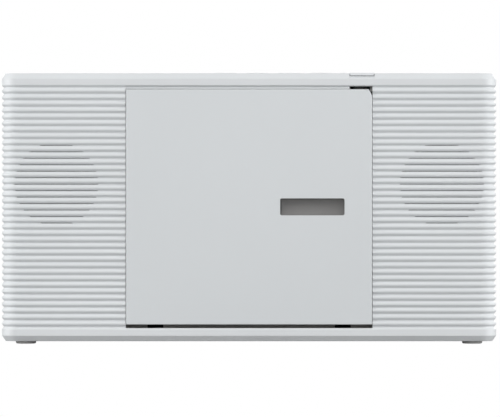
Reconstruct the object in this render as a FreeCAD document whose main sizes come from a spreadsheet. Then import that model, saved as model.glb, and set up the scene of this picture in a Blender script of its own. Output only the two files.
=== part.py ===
import FreeCAD, Part
import math
import os
import Sketcher

# A shelf hi-fi system: a wide ribbed case with a speaker behind each side of the front, a
# vertical disc player behind a drop-down door in the middle, and its keys along the top.
# Millimetres. X runs to the right, the front faces -Y, Z is up. The origin is under the
# middle of the case, on the surface that the feet stand on.

Vector = FreeCAD.Vector
RIGHT, REAR, UP = Vector(1, 0, 0), Vector(0, 1, 0), Vector(0, 0, 1)
LEFT, DOWN = -RIGHT, -UP

DIMENSIONS = [
    # Case
    ("width", 270), ("depth", 70), ("foot_height", 1.5), ("case_height", 146),
    ("wall", 2.4), ("front_wall", 2.6), ("seam_y", 12), ("corner_radius", 9),
    ("facet_height", 3), ("facet_depth", 2), ("post_x", 124), ("post_low", 12), ("post_high", 126),
    ("post_radius", 3.8),
    # Ribs on the front and sides: the grooves between them
    ("groove_count", 38), ("groove_first", 9.3), ("groove_span", 130.4),
    ("groove_depth", 0.8), ("groove_mouth", 0.85), ("groove_floor", 0.35),
    # Speakers and the sound slots in front of them
    ("speaker_x", 105), ("speaker_z", 86.84), ("grille_radius", 23), ("slot_height", 0.7),
    ("basket_radius", 24.9), ("magnet_radius", 15),
    # Door, its opening and its window
    ("door_half", 67), ("door_bottom", 10.6), ("door_top", 138.7), ("door_thick", 2),
    ("door_gap", 1), ("mouth_bottom", 8.6), ("mouth_top", 140.4), ("mouth_half", 67.3),
    ("ledge_z", 137.6), ("ledge_y", -32.2), ("window_left", 16.9), ("window_right", 52),
    ("window_bottom", 70.05), ("window_top", 79.3), ("hinge_x", 51.2), ("hinge_y", -31.4),
    ("hinge_z", 13.2), ("pin_radius", 0.8), ("pin_length", 14.8), ("knuckle_width", 7),
    ("knuckle_radius", 2), ("stiffener_half", 61), ("stiffener_low", 19), ("stiffener_high", 134.5),
    ("stiffener_wall", 1.4), ("catch_left", 57.4), ("catch_right", 63.6), ("door_frame_half", 70.5),
    ("door_frame_low", 6.2), ("door_frame_high", 142.6),
    # Disc deck
    ("hub_z", 74.65), ("well_radius", 62), ("deck_y", -30.4), ("trough_y", -26.2),
    ("well_y", -20.4), ("deck_wall", 1.6), ("hub_radius", 18), ("seat_y", -23.6),
    ("spindle_radius", 1), ("spindle_hole", 8), ("slot_left", -62), ("slot_right", -19),
    ("slot_half", 7.6), ("chassis_y", -17.4), ("chassis_thick", 1.8),
    # Pickup and its drive: straight-sided teeth of one module
    ("pickup_x", -24), ("rod_offset", 13), ("rod_y", -13.5), ("rod_radius", 1.5),
    ("rod_left", -71), ("rod_length", 55.6), ("gear_x", -36), ("rack_line", -18.2), ("tooth_module", 0.8),
    ("pinion_teeth", 15), ("wheel_teeth", 24), ("motor_teeth", 9),
    # Keys along the top
    ("key_pitch", 17.5), ("key_first_x", -13), ("key_wide", 14.4), ("key_deep", 9),
    ("key_rise", 0.55), ("key_front_y", -20.5), ("key_rear_y", -6.5), ("key_gap", 0.3),
    ("repeat_wide", 5.8), ("dome_radius", 48), ("open_left", 55), ("open_right", 68),
    ("open_rear", -19), ("key_board_z", 139.4), ("key_board_thick", 1.2),
    # Display on the top, left of the keys
    ("display_left", -98), ("display_right", -42), ("display_front", -21), ("display_rear", -5),
    ("display_gap", 0.2), ("display_lens_thick", 1.2),
    # Rear
    ("battery_half", 78.5), ("battery_bottom", 8), ("battery_top", 60.4), ("battery_y", 5),
    ("cover_pivot_y", 33.95), ("cover_pivot_z", 9.6),
    ("inlet_x", -108), ("inlet_z", 19), ("vent_half", 16), ("vent_low", 76), ("vent_pitch", 5),
    ("vent_height", 2), ("vent_count", 9), ("jack_y", 22), ("jack_z", 30), ("jack_bore", 1.8),
    ("aerial_x", 112), ("aerial_y", 32), ("aerial_z", 138.5), ("aerial_length", 160),
    ("foot_x", 122), ("foot_y", 24), ("foot_radius", 5.5),
    # Aerial coil inside the case
    ("ferrite_radius", 4.5), ("ferrite_length", 100), ("ferrite_y", 20), ("ferrite_z", 122),
]

doc = FreeCAD.newDocument("HifiSystem")
sheet = doc.addObject("Spreadsheet::Sheet", "Sizes")
for row, (alias, size) in enumerate(DIMENSIONS, start=1):
    sheet.set("A%d" % row, alias)
    sheet.set("B%d" % row, str(size))
    sheet.setAlias("B%d" % row, alias)
doc.recompute()

finished = []


# Helpers ---------------------------------------------------------------------------------

def value(size):
    """The number that a size or an expression on the sheet comes to."""
    result = sheet.evalExpression(size.replace("Sizes.", "")) if isinstance(size, str) else size
    return float(getattr(result, "Value", result))


def finish(piece, label):
    """Give a sub-part its label and put it on the list of parts to write."""
    piece.Label = label
    finished.append(piece)
    return piece


def place(piece, base):
    for axis, size in zip("xyz", base):
        piece.setExpression("Placement.Base." + axis, str(size))


def box(name, low, high):
    """A box between two corners; each coordinate is a number or an expression."""
    piece = doc.addObject("Part::Box", name)
    for side, lower, upper in zip(("Length", "Width", "Height"), low, high):
        piece.setExpression(side, "(%s) - (%s)" % (upper, lower))
    place(piece, low)
    return piece


def rod(name, start, along, radius, length):
    """A round bar from start, in a direction."""
    piece = doc.addObject("Part::Cylinder", name)
    piece.Placement = FreeCAD.Placement(Vector(), FreeCAD.Rotation(UP, along))
    piece.setExpression("Radius", str(radius))
    piece.setExpression("Height", str(length))
    place(piece, start)
    return piece


def ball(name, centre, radius):
    piece = doc.addObject("Part::Sphere", name)
    piece.setExpression("Radius", str(radius))
    place(piece, centre)
    return piece


def fuse(name, pieces):
    joined = doc.addObject("Part::MultiFuse", name)
    joined.Shapes = list(pieces)
    return joined


def cut(name, base, tools):
    """The base less every tool."""
    tools = list(tools)
    result = doc.addObject("Part::Cut", name)
    result.Base = base
    result.Tool = tools[0] if len(tools) == 1 else fuse(name + "_tools", tools)
    return result


def group(name, pieces):
    """Separate solids that share one node."""
    compound = doc.addObject("Part::Compound", name)
    compound.Links = list(pieces)
    return compound


def new_body(name):
    return doc.addObject("PartDesign::Body", name)


def sketch_on(body, name, role, offset):
    """A sketch on one of the body's own origin planes, moved out along the plane's normal."""
    plane = [item for item in body.Origin.OriginFeatures if item.Role == role][0]
    sketch = body.newObject("Sketcher::SketchObject", name)
    sketch.AttachmentSupport = [(plane, "")]
    sketch.MapMode = "FlatFace"
    sketch.setExpression("AttachmentOffset.Base.z", str(offset))
    return sketch


def front_sketch(body, name, y):
    """A sketch in the plane of the front, at a depth y: across is X and up is Z."""
    return sketch_on(body, name, "XZ_Plane", "-(%s)" % y)


def pin_point(sketch, item, end, point):
    """Fix one point of a sketch element to sizes or expressions."""
    for kind, size in zip(("DistanceX", "DistanceY"), point):
        number = sketch.addConstraint(Sketcher.Constraint(kind, item, end, value(size)))
        if isinstance(size, str):
            sketch.setExpression("Constraints[%d]" % number, size)


def polygon(sketch, points):
    first = sketch.GeometryCount
    count = len(points)
    for index, point in enumerate(points):
        following = points[(index + 1) % count]
        ends = [Vector(value(x), value(y), 0) for x, y in (point, following)]
        sketch.addGeometry(Part.LineSegment(*ends), False)
    for index, point in enumerate(points):
        following = first + (index + 1) % count
        sketch.addConstraint(Sketcher.Constraint("Coincident", first + index, 2, following, 1))
        pin_point(sketch, first + index, 1, point)


def rectangle(sketch, low, high):
    polygon(sketch, [low, (high[0], low[1]), high, (low[0], high[1])])


def circle(sketch, centre, radius):
    middle = Vector(value(centre[0]), value(centre[1]), 0)
    item = sketch.addGeometry(Part.Circle(middle, UP, value(radius)), False)
    number = sketch.addConstraint(Sketcher.Constraint("Radius", item, value(radius)))
    if isinstance(radius, str):
        sketch.setExpression("Constraints[%d]" % number, radius)
    pin_point(sketch, item, 3, centre)


def extrude(body, kind, sketch, length, backwards):
    feature = body.newObject("PartDesign::" + kind, sketch.Name + kind)
    feature.Profile = sketch
    feature.setExpression("Length", str(length))
    feature.Reversed = backwards
    return feature


def pad(body, sketch, length, backwards=False):
    return extrude(body, "Pad", sketch, length, backwards)


def pocket(body, sketch, length, backwards=False):
    """A cut against the sketch's normal, or along it when backwards."""
    doc.recompute()
    before = body.Shape.Volume
    feature = extrude(body, "Pocket", sketch, length, backwards)
    doc.recompute()
    if body.Shape.Volume > before - 1e-3:
        raise RuntimeError("%s cuts nothing" % feature.Name)
    return feature


def near(number, *targets):
    return any(abs(number - value(target)) < 1e-3 for target in targets)


def edges_where(feature, test):
    """Names of the edges of a feature whose middle point passes a test."""
    doc.recompute()
    edges = enumerate(feature.Shape.Edges, start=1)
    return ["Edge%d" % number for number, edge in edges if test(edge.CenterOfMass)]


def fillet(body, feature, test, radius):
    rounded = body.newObject("PartDesign::Fillet", feature.Name + "Round")
    rounded.Base = (feature, edges_where(feature, test))
    rounded.setExpression("Radius", str(radius))
    return rounded


def chamfer(body, feature, test, size, other):
    bevelled = body.newObject("PartDesign::Chamfer", feature.Name + "Bevel")
    bevelled.Base = (feature, edges_where(feature, test))
    bevelled.ChamferType = 1
    bevelled.setExpression("Size", str(size))
    bevelled.setExpression("Size2", str(other))
    return bevelled


def turned(name, profile, start, along):
    """A lathe shape: (radius, height) points turned about an axis from start."""
    body = new_body(name)
    sketch = sketch_on(body, name + "Profile", "XZ_Plane", 0)
    polygon(sketch, profile)
    spin = body.newObject("PartDesign::Revolution", name + "Turn")
    spin.Profile = sketch
    spin.ReferenceAxis = (sketch, ["V_Axis"])
    spin.Angle = 360
    body.Placement = FreeCAD.Placement(Vector(), FreeCAD.Rotation(UP, along))
    place(body, start)
    return body


def coil(radius, pitch, turns, wire, start, along):
    """A spring of round wire; its sizes are read here because a sweep has no bound form."""
    helix = Part.makeHelix(pitch, pitch * turns, radius)
    section = Part.Wire(Part.makeCircle(wire, Vector(radius, 0, 0), REAR))
    shape = Part.Wire(helix.Edges).makePipeShell([section], True, True)
    shape.Placement = FreeCAD.Placement(Vector(*start), FreeCAD.Rotation(UP, along))
    return shape


def side_name(side):
    return "left" if side < 0 else "right"


# Case ------------------------------------------------------------------------------------

CASE_TOP = "Sizes.foot_height + Sizes.case_height"
CASE_HALF = "Sizes.width / 2"
FRONT_Y = "-Sizes.depth / 2"
REAR_Y = "Sizes.depth / 2"
INNER_FRONT = "-Sizes.depth / 2 + Sizes.front_wall"
INNER_REAR = "Sizes.depth / 2 - Sizes.wall"
INNER_TOP = CASE_TOP + " - Sizes.wall"
INNER_HALF = "Sizes.width / 2 - Sizes.wall"
POSTS = [(x, z) for x in ("-Sizes.post_x", "Sizes.post_x")
         for z in ("Sizes.post_low", "Sizes.post_high")]


def case_shell(body, y_open, y_closed, y_inner, corner):
    """One half of the case: rounded upright corners, bevelled rims and an even hollow."""
    plan = sketch_on(body, body.Name + "Plan", "XY_Plane", "Sizes.foot_height")
    rectangle(plan, ("-" + CASE_HALF, y_open), (CASE_HALF, y_closed))
    block = pad(body, plan, "Sizes.case_height")
    upright = fillet(body, block, lambda p: near(p.y, y_closed) and near(abs(p.x), CASE_HALF),
                     corner)
    chamfer(body, upright,
            lambda p: near(p.z, "Sizes.foot_height", CASE_TOP) and not near(p.y, y_open),
            "Sizes.facet_height", "Sizes.facet_depth")
    inside = sketch_on(body, body.Name + "Inside", "XY_Plane", "Sizes.foot_height + Sizes.wall")
    turn = "%s %s Sizes.wall" % (y_inner, "+" if value(y_inner) < 0 else "-")
    polygon(inside, [("-(%s)" % INNER_HALF, y_open), ("-(%s)" % INNER_HALF, turn),
                     ("Sizes.wall - (%s)" % INNER_HALF, y_inner),
                     (INNER_HALF + " - Sizes.wall", y_inner),
                     (INNER_HALF, turn), (INNER_HALF, y_open)])
    pocket(body, inside, "Sizes.case_height - 2 * Sizes.wall", True)


def cut_grooves(body):
    """Level grooves round the front and both sides, one above another."""
    height = "Sizes.groove_first"
    path = sketch_on(body, "GroovePath", "XY_Plane", height)
    half, radius = value(CASE_HALF), value("Sizes.corner_radius")
    front, start = value(FRONT_Y), value("Sizes.seam_y") + 1
    across, behind = half - radius, front + radius
    runs = [
        Part.LineSegment(Vector(half, start), Vector(half, behind)),
        Part.ArcOfCircle(Part.Circle(Vector(across, behind), UP, radius), -math.pi / 2, 0),
        Part.LineSegment(Vector(across, front), Vector(-across, front)),
        Part.ArcOfCircle(Part.Circle(Vector(-across, behind), UP, radius), -math.pi, -math.pi / 2),
        Part.LineSegment(Vector(-half, behind), Vector(-half, start)),
    ]
    for run in runs:
        path.addGeometry(run, False)
    section = front_sketch(body, "GrooveSection", "Sizes.seam_y + 1")
    floor = "Sizes.width / 2 - Sizes.groove_depth"
    clear = "Sizes.width / 2 + 1"
    polygon(section, [
        (clear, height + " - Sizes.groove_mouth"),
        (CASE_HALF, height + " - Sizes.groove_mouth"),
        (floor, height + " - Sizes.groove_floor"),
        (floor, height + " + Sizes.groove_floor"),
        (CASE_HALF, height + " + Sizes.groove_mouth"),
        (clear, height + " + Sizes.groove_mouth")])
    groove = body.newObject("PartDesign::SubtractivePipe", "Groove")
    groove.Profile = section
    groove.Spine = (path, ["Edge%d" % number for number in range(1, len(runs) + 1)])
    doc.recompute()
    before = body.Shape.Volume
    rows = body.newObject("PartDesign::LinearPattern", "GrooveRows")
    rows.Originals = [groove]
    upright = [item for item in body.Origin.OriginFeatures if item.Role == "Z_Axis"][0]
    rows.Direction = (upright, [""])
    rows.setExpression("Length", "Sizes.groove_span")
    rows.setExpression("Occurrences", "Sizes.groove_count")
    body.Tip = rows
    doc.recompute()
    if body.Shape.Volume > before:
        raise RuntimeError("the grooves cut nothing")


def groove_heights():
    count = int(value("Sizes.groove_count"))
    step = value("Sizes.groove_span") / (count - 1)
    return [value("Sizes.groove_first") + step * index for index in range(count)]


def cut_sound_slots(body):
    """Open slots in the upper half of each groove, inside a circle over each speaker."""
    slots = front_sketch(body, "SoundSlots", FRONT_Y)
    radius, height = value("Sizes.grille_radius"), value("Sizes.slot_height")
    for side in (-1, 1):
        middle = side * value("Sizes.speaker_x")
        for level in groove_heights():
            rise = level - value("Sizes.speaker_z")
            if abs(rise) < radius - 1:
                reach = math.sqrt(radius ** 2 - rise ** 2)
                lower = level + value("Sizes.groove_floor") - height
                rectangle(slots, (middle - reach, lower), (middle + reach, lower + height))
    pocket(body, slots, "Sizes.front_wall + 1")


def cut_key_holes(body):
    holes = sketch_on(body, "KeyHoles", "XY_Plane", CASE_TOP)
    for name, x, y, wide in KEYS:
        half = "%s / 2 + Sizes.key_gap" % wide
        deep = "Sizes.key_deep / 2 + Sizes.key_gap"
        rectangle(holes, ("%s - (%s)" % (x, half), "%s - (%s)" % (y, deep)),
                  ("%s + %s" % (x, half), "%s + %s" % (y, deep)))
    rectangle(holes, ("Sizes.display_left", "Sizes.display_front"),
              ("Sizes.display_right", "Sizes.display_rear"))
    pocket(body, holes, "Sizes.wall + 1")


def front_cabinet():
    body = new_body("Cabinet")
    case_shell(body, "Sizes.seam_y", FRONT_Y, INNER_FRONT, "Sizes.corner_radius")
    frame = front_sketch(body, "DoorFrame", "Sizes.deck_y")
    rectangle(frame, ("-Sizes.door_frame_half", "Sizes.door_frame_low"),
              ("Sizes.door_frame_half", "Sizes.door_frame_high"))
    pad(body, frame, "Sizes.deck_y - (%s) + 0.5" % INNER_FRONT)
    posts = front_sketch(body, "CabinetPosts", "Sizes.seam_y")
    for x, z in POSTS:
        circle(posts, (x, z), "Sizes.post_radius")
    pad(body, posts, "Sizes.seam_y - (%s) + 0.5" % INNER_FRONT)
    pilots = front_sketch(body, "CabinetPilots", "Sizes.seam_y")
    for x, z in POSTS:
        circle(pilots, (x, z), 1.3)
    pocket(body, pilots, 14, True)
    cut_grooves(body)
    rebate = front_sketch(body, "DoorRebate", FRONT_Y)
    rectangle(rebate, ("-Sizes.door_half - Sizes.door_gap", "Sizes.mouth_bottom"),
              ("Sizes.door_half + Sizes.door_gap", "Sizes.mouth_top"))
    pocket(body, rebate, "Sizes.ledge_y + Sizes.depth / 2")
    mouth = front_sketch(body, "DoorMouth", FRONT_Y)
    rectangle(mouth, ("-Sizes.mouth_half", "Sizes.mouth_bottom"),
              ("Sizes.mouth_half", "Sizes.ledge_z"))
    pocket(body, mouth, "Sizes.deck_y + Sizes.depth / 2 + 1")
    cut_sound_slots(body)
    cut_key_holes(body)
    notch = sketch_on(body, "OpenKeyNotch", "XY_Plane", CASE_TOP)
    rectangle(notch, ("Sizes.open_left - Sizes.key_gap", "-Sizes.depth / 2 - 1"),
              ("Sizes.open_right + Sizes.key_gap", "Sizes.open_rear + 0.6"))
    pocket(body, notch, "Sizes.wall")
    passage = sketch_on(body, "LatchPassage", "XY_Plane", CASE_TOP)
    rectangle(passage, (55.2, "Sizes.ledge_y - 0.1"), (66, -28.4))
    pocket(body, passage, 12)
    finish(body, "front_cabinet")


def rear_cover():
    body = new_body("Cover")
    case_shell(body, "Sizes.seam_y", REAR_Y, INNER_REAR, "Sizes.corner_radius")
    posts = front_sketch(body, "CoverPosts", "Sizes.seam_y")
    for x, z in POSTS:
        circle(posts, (x, z), "Sizes.post_radius + 0.6")
    pad(body, posts, "%s - Sizes.seam_y + 0.5" % INNER_REAR, True)
    channel = front_sketch(body, "AerialChannelWalls", 26.6)
    rectangle(channel, ("-(%s) + 0.5" % INNER_HALF, 132.6), (121.4, 146))
    pad(body, channel, "%s + 0.05 - 26.6" % INNER_REAR, True)
    groove = front_sketch(body, "AerialChannel", 29)
    rectangle(groove, ("-%s - 1" % CASE_HALF, 135), (119, 150))
    pocket(body, groove, 10)
    stud = front_sketch(body, "AerialStudHole", 26)
    circle(stud, ("Sizes.aerial_x", "Sizes.aerial_z"), 2.05)
    pocket(body, stud, 4)
    shanks = front_sketch(body, "ScrewShanks", "Sizes.seam_y")
    for x, z in POSTS:
        circle(shanks, (x, z), 1.7)
    pocket(body, shanks, 30)
    heads = front_sketch(body, "ScrewHeads", 24)
    for x, z in POSTS:
        circle(heads, (x, z), 3.2)
    pocket(body, heads, 12)
    openings = front_sketch(body, "RearOpenings", INNER_REAR)
    rectangle(openings, ("-Sizes.battery_half", "Sizes.battery_bottom"),
              ("Sizes.battery_half", "Sizes.battery_top"))
    rectangle(openings, ("Sizes.inlet_x - 10.4", "Sizes.inlet_z - 6.1"),
              ("Sizes.inlet_x + 10.4", "Sizes.inlet_z + 6.1"))
    for side in (-1, 1):
        for row in range(int(value("Sizes.vent_count"))):
            middle = "%d * Sizes.speaker_x" % side
            low = "Sizes.vent_low + %d * Sizes.vent_pitch" % row
            rectangle(openings, (middle + " - Sizes.vent_half", low),
                      (middle + " + Sizes.vent_half", low + " + Sizes.vent_height"))
    pocket(body, openings, "Sizes.wall + 1")
    pivots = sketch_on(body, "CoverPivotHoles", "YZ_Plane", "-Sizes.battery_half - 0.8")
    circle(pivots, ("Sizes.cover_pivot_y", "Sizes.cover_pivot_z"), 0.95)
    pocket(body, pivots, "2 * Sizes.battery_half + 1.6", True)
    jack = sketch_on(body, "JackHole", "YZ_Plane", CASE_HALF)
    circle(jack, ("Sizes.jack_y", "Sizes.jack_z"), 3.2)
    pocket(body, jack, "Sizes.wall + 1")
    finish(body, "rear_cover")


def feet():
    """Four rubber feet with bevelled lower rims."""
    radius = "Sizes.foot_radius"
    profile = [(0, 0), (radius + " - 0.6", 0), (radius, 0.6),
               (radius, "Sizes.foot_height"), (0, "Sizes.foot_height")]
    pieces = []
    for index, (x, y) in enumerate([(-1, -1), (1, -1), (-1, 1), (1, 1)]):
        corner = ("%d * Sizes.foot_x" % x, "%d * Sizes.foot_y" % y, 0)
        pieces.append(turned("Foot%d" % index, profile, corner, UP))
    finish(group("Feet", pieces), "rubber_feet")


def screw(name, head, x, y, z, length, shank):
    """A pan-head screw driven towards the front, its head's underside at y."""
    profile = [(0, -length), (shank, -length), (shank, 0), (head, 0),
               (head, 1), (head - 0.6, 1.7), (0, 1.7)]
    body = turned(name, profile, (x, y, z), REAR)
    return cut(name + "_cut", body, [box(name + "_slot", ("%s - 0.3" % x, "%s + 1.1" % y,
               "%s - %s" % (z, head)), ("%s + 0.3" % x, "%s + 2" % y, "%s + %s" % (z, head)))])


def case_screws():
    pieces = [screw("CaseScrew%d" % index, 2.9, x, 24, z, 25.5, 1.25)
              for index, (x, z) in enumerate(POSTS)]
    finish(group("CaseScrews", pieces), "case_screws")


# Door ------------------------------------------------------------------------------------

def door_panel():
    """The flat front door with its stiffening frame, window and two hinge knuckles."""
    body = new_body("Door")
    front = front_sketch(body, "DoorOutline", FRONT_Y)
    polygon(front, [("-Sizes.door_half", "Sizes.door_bottom"),
                    ("Sizes.door_half", "Sizes.door_bottom"),
                    ("Sizes.door_half", "Sizes.door_top - 3.6"),
                    ("Sizes.door_half - 1.8", "Sizes.door_top"),
                    ("-Sizes.door_half", "Sizes.door_top")])
    panel = pad(body, front, "Sizes.door_thick", True)
    fillet(body, panel, lambda p: near(p.y, FRONT_Y), 0.5)
    back = FRONT_Y + " + Sizes.door_thick"
    frame = front_sketch(body, "DoorStiffener", back)
    for inset in ("0", "Sizes.stiffener_wall"):
        rectangle(frame, ("-Sizes.stiffener_half + " + inset, "Sizes.stiffener_low + " + inset),
                  ("Sizes.stiffener_half - " + inset, "Sizes.stiffener_high - " + inset))
    pad(body, frame, 1.4, True)
    catch = front_sketch(body, "DoorCatch", back)
    rectangle(catch, ("Sizes.catch_left", "Sizes.stiffener_high"),
              ("Sizes.catch_right", "Sizes.stiffener_high + 1.7"))
    pad(body, catch, 0.8, True)
    for side in (-1, 1):
        lug = sketch_on(body, "Knuckle_" + side_name(side), "YZ_Plane",
                        "%d * Sizes.hinge_x - Sizes.knuckle_width / 2" % side)
        low = "Sizes.hinge_z - Sizes.knuckle_radius"
        polygon(lug, [(back + " - 0.2", low), ("Sizes.hinge_y", low),
                      ("Sizes.hinge_y + Sizes.knuckle_radius * 0.7", low + " + 0.6"),
                      ("Sizes.hinge_y + Sizes.knuckle_radius", "Sizes.hinge_z"),
                      ("Sizes.hinge_y + Sizes.knuckle_radius * 0.7",
                       "Sizes.hinge_z + Sizes.knuckle_radius * 0.7"),
                      (back + " - 0.2", "Sizes.hinge_z + Sizes.knuckle_radius + 2")])
        pad(body, lug, "Sizes.knuckle_width")
    window = front_sketch(body, "Window", FRONT_Y)
    rectangle(window, ("Sizes.window_left", "Sizes.window_bottom"),
              ("Sizes.window_right", "Sizes.window_top"))
    opening = pocket(body, window, "Sizes.door_thick + 1")
    fillet(body, opening, lambda p: near(p.y, FRONT_Y + " + Sizes.door_thick / 2")
           and near(p.x, "Sizes.window_left", "Sizes.window_right")
           and near(p.z, "Sizes.window_bottom", "Sizes.window_top"), 1)
    bore = sketch_on(body, "PinBore", "YZ_Plane", -60)
    circle(bore, ("Sizes.hinge_y", "Sizes.hinge_z"), "Sizes.pin_radius + 0.05")
    pocket(body, bore, 120, True)
    finish(body, "door_panel")


def window_lens():
    """A clear lens: a tongue in the opening and a flange glued behind the panel."""
    back = FRONT_Y + " + Sizes.door_thick"
    tongue = box("LensTongue", ("Sizes.window_left + 0.32", FRONT_Y + " + 0.7",
                                "Sizes.window_bottom + 0.32"),
                 ("Sizes.window_right - 0.32", back, "Sizes.window_top - 0.32"))
    flange = box("LensFlange", ("Sizes.window_left - 1.6", back, "Sizes.window_bottom - 1.6"),
                 ("Sizes.window_right + 1.6", back + " + 0.8", "Sizes.window_top + 1.6"))
    finish(fuse("Lens", [tongue, flange]), "window_lens")


def hinge_pins():
    pieces = [rod("HingePin_" + side_name(side),
                  ("%d * Sizes.hinge_x - Sizes.pin_length / 2" % side, "Sizes.hinge_y",
                   "Sizes.hinge_z"), RIGHT, "Sizes.pin_radius", "Sizes.pin_length") for side in (-1, 1)]
    finish(group("HingePins", pieces), "hinge_pins")


# Disc deck -------------------------------------------------------------------------------

FLOOR_BACK = "Sizes.well_y + Sizes.deck_wall"
DAMPERS = [(x, z) for x in (-56, 17) for z in ("Sizes.hub_z - 24", "Sizes.hub_z + 24")]


def disc_deck():
    """The moulding behind the door: a shallow trough, a round disc well and hinge bearings."""
    body = new_body("Deck")
    flange = front_sketch(body, "DeckFlange", "Sizes.deck_y")
    rectangle(flange, (-70, 5), (70, 142.4))
    pad(body, flange, "Sizes.deck_wall", True)
    trough = front_sketch(body, "TroughWalls", "Sizes.deck_y")
    rectangle(trough, ("-Sizes.mouth_half - 1.4", "Sizes.mouth_bottom - 1.4"),
              ("Sizes.mouth_half + 1.4", "Sizes.ledge_z + 1.4"))
    pad(body, trough, "Sizes.trough_y - Sizes.deck_y + Sizes.deck_wall", True)
    well = front_sketch(body, "WellWall", "Sizes.deck_y")
    circle(well, (0, "Sizes.hub_z"), "Sizes.well_radius + Sizes.deck_wall")
    pad(body, well, "Sizes.well_y - Sizes.deck_y + Sizes.deck_wall", True)
    shallow = front_sketch(body, "Trough", "Sizes.deck_y")
    rectangle(shallow, ("-Sizes.mouth_half", "Sizes.mouth_bottom"),
              ("Sizes.mouth_half", "Sizes.ledge_z"))
    pocket(body, shallow, "Sizes.trough_y - Sizes.deck_y")
    deep = front_sketch(body, "Well", "Sizes.deck_y")
    circle(deep, (0, "Sizes.hub_z"), "Sizes.well_radius")
    pocket(body, deep, "Sizes.well_y - Sizes.deck_y")
    floor = front_sketch(body, "WellOpenings", "Sizes.well_y")
    circle(floor, (0, "Sizes.hub_z"), "Sizes.spindle_hole")
    rectangle(floor, ("Sizes.slot_left", "Sizes.hub_z - Sizes.slot_half"),
              ("Sizes.slot_right", "Sizes.hub_z + Sizes.slot_half"))
    pocket(body, floor, "Sizes.deck_wall + 1")
    notches = front_sketch(body, "HingeNotches", "Sizes.trough_y")
    for side in (-1, 1):
        rectangle(notches, ("%d * Sizes.hinge_x - 4.35" % side, "Sizes.mouth_bottom"),
                  ("%d * Sizes.hinge_x + 4.35" % side, "Sizes.hinge_z - 1"))
    pocket(body, notches, 3)
    passage = sketch_on(body, "DeckLatchPassage", "XY_Plane", 145)
    rectangle(passage, (55.2, "Sizes.deck_y - 1"), (66, "Sizes.trough_y"))
    pocket(body, passage, 9)
    for side in (-1, 1):
        for edge in (-7.2, 3.9):
            add_bearing(body, side, edge)
    holes = sketch_on(body, "BearingBores", "YZ_Plane", -60)
    circle(holes, ("Sizes.hinge_y", "Sizes.hinge_z"), "Sizes.pin_radius")
    pocket(body, holes, 120, True)
    bosses = front_sketch(body, "DamperHoles", "Sizes.well_y")
    for x, z in DAMPERS:
        circle(bosses, (x, z), 1.1)
    pocket(body, bosses, "Sizes.deck_wall + 1")
    finish(body, "disc_deck")


def add_bearing(body, side, edge):
    """One upright cheek beside a knuckle, rounded close about the pin so the door clears it."""
    cheek = sketch_on(body, "Bearing_%s_%d" % (side_name(side), edge > 0), "YZ_Plane",
                      "%d * Sizes.hinge_x + %s" % (side, edge))
    y, z = "Sizes.hinge_y", "Sizes.hinge_z"
    polygon(cheek, [(y + " - 0.55", z + " - 1.2"), (y + " + 0.55", z + " - 1.2"),
                    (y + " + 1.3", z + " - 0.4"), ("Sizes.trough_y + 0.5", z + " - 0.4"),
                    ("Sizes.trough_y + 0.5", z + " + 3"), (y + " - 0.6", z + " + 3"),
                    (y + " - 1.3", z + " + 2.2"), (y + " - 1.3", z + " - 0.45")])
    pad(body, cheek, 3.3)


def mech_chassis():
    """The pressed plate that carries the motors, rods and gear, hung on rubber dampers."""
    centre = "Sizes.hub_z"
    plate = box("ChassisPlate", (-72, "Sizes.chassis_y", centre + " - 46"),
                (24, "Sizes.chassis_y + Sizes.chassis_thick", centre + " + 30"))
    opening = box("SledOpening", (-67.6, -18, centre + " - 17.5"), (-18.6, -15, centre + " + 17.5"))
    boss = rod("MotorBossHole", (0, -18, centre), REAR, 5.2, 4)
    dampers = [rod("ChassisDamperHole%d" % index, (x, -18, z), REAR, 3.1, 4)
               for index, (x, z) in enumerate(DAMPERS)]
    pressed = cut("ChassisPressing", plate, [opening, boss] + dampers)
    holders = []
    for side in (-1, 1):
        middle = "%s + %d * Sizes.rod_offset" % (centre, side)
        for name, low, high in (("Outer", -72, -68), ("Inner", -18.4, -14.4)):
            block = box("Holder%s_%s" % (name, side_name(side)), (low, -15.8, middle + " - 2.6"),
                        (high, "Sizes.rod_y + 2.8", middle + " + 2.6"))
            bore = rod("HolderBore%s_%s" % (name, side_name(side)),
                       (low + (1 if low < -60 else -1), "Sizes.rod_y", middle), RIGHT,
                       "Sizes.rod_radius", 4)
            holders.append(cut("RodHolder%s_%s" % (name, side_name(side)), block, [bore]))
    stud = rod("GearStud", ("Sizes.gear_x", -15.8, GEAR_Z), REAR, 0.95, 9.2)
    finish(fuse("Chassis", [pressed, stud] + holders), "mech_chassis")


GEAR_Z = ("Sizes.hub_z + Sizes.rack_line - Sizes.pinion_teeth * Sizes.tooth_module / 2")
MOTOR_Z = GEAR_Z + " - (Sizes.wheel_teeth + Sizes.motor_teeth) * Sizes.tooth_module / 2"


def mech_dampers():
    profile = [(1.3, 0), (4.5, 0), (4.5, 1.1), (3, 1.4), (3, 3.2), (4.5, 3.5), (4.5, 4.6), (1.3, 4.6)]
    pieces = [turned("Damper%d" % index, profile, (x, FLOOR_BACK, z), REAR)
              for index, (x, z) in enumerate(DAMPERS)]
    finish(group("Dampers", pieces), "mech_dampers")
    screws = [screw("MechScrew%d" % index, 3, x, -14.1, z, 6.1, 1.05)
              for index, (x, z) in enumerate(DAMPERS)]
    finish(group("MechScrews", screws), "mech_screws")


def spindle_motor():
    profile = [("Sizes.spindle_radius + 0.05", 0), (4.8, 0), (4.8, 1.8), (11.2, 1.8), (12, 2.6),
               (12, 9.6), (11.2, 10.4), (3, 10.4), (3, 11.4), ("Sizes.spindle_radius + 0.05", 11.4)]
    finish(turned("SpindleMotor", profile, (0, "Sizes.chassis_y", "Sizes.hub_z"), REAR), "spindle_motor")


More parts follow.
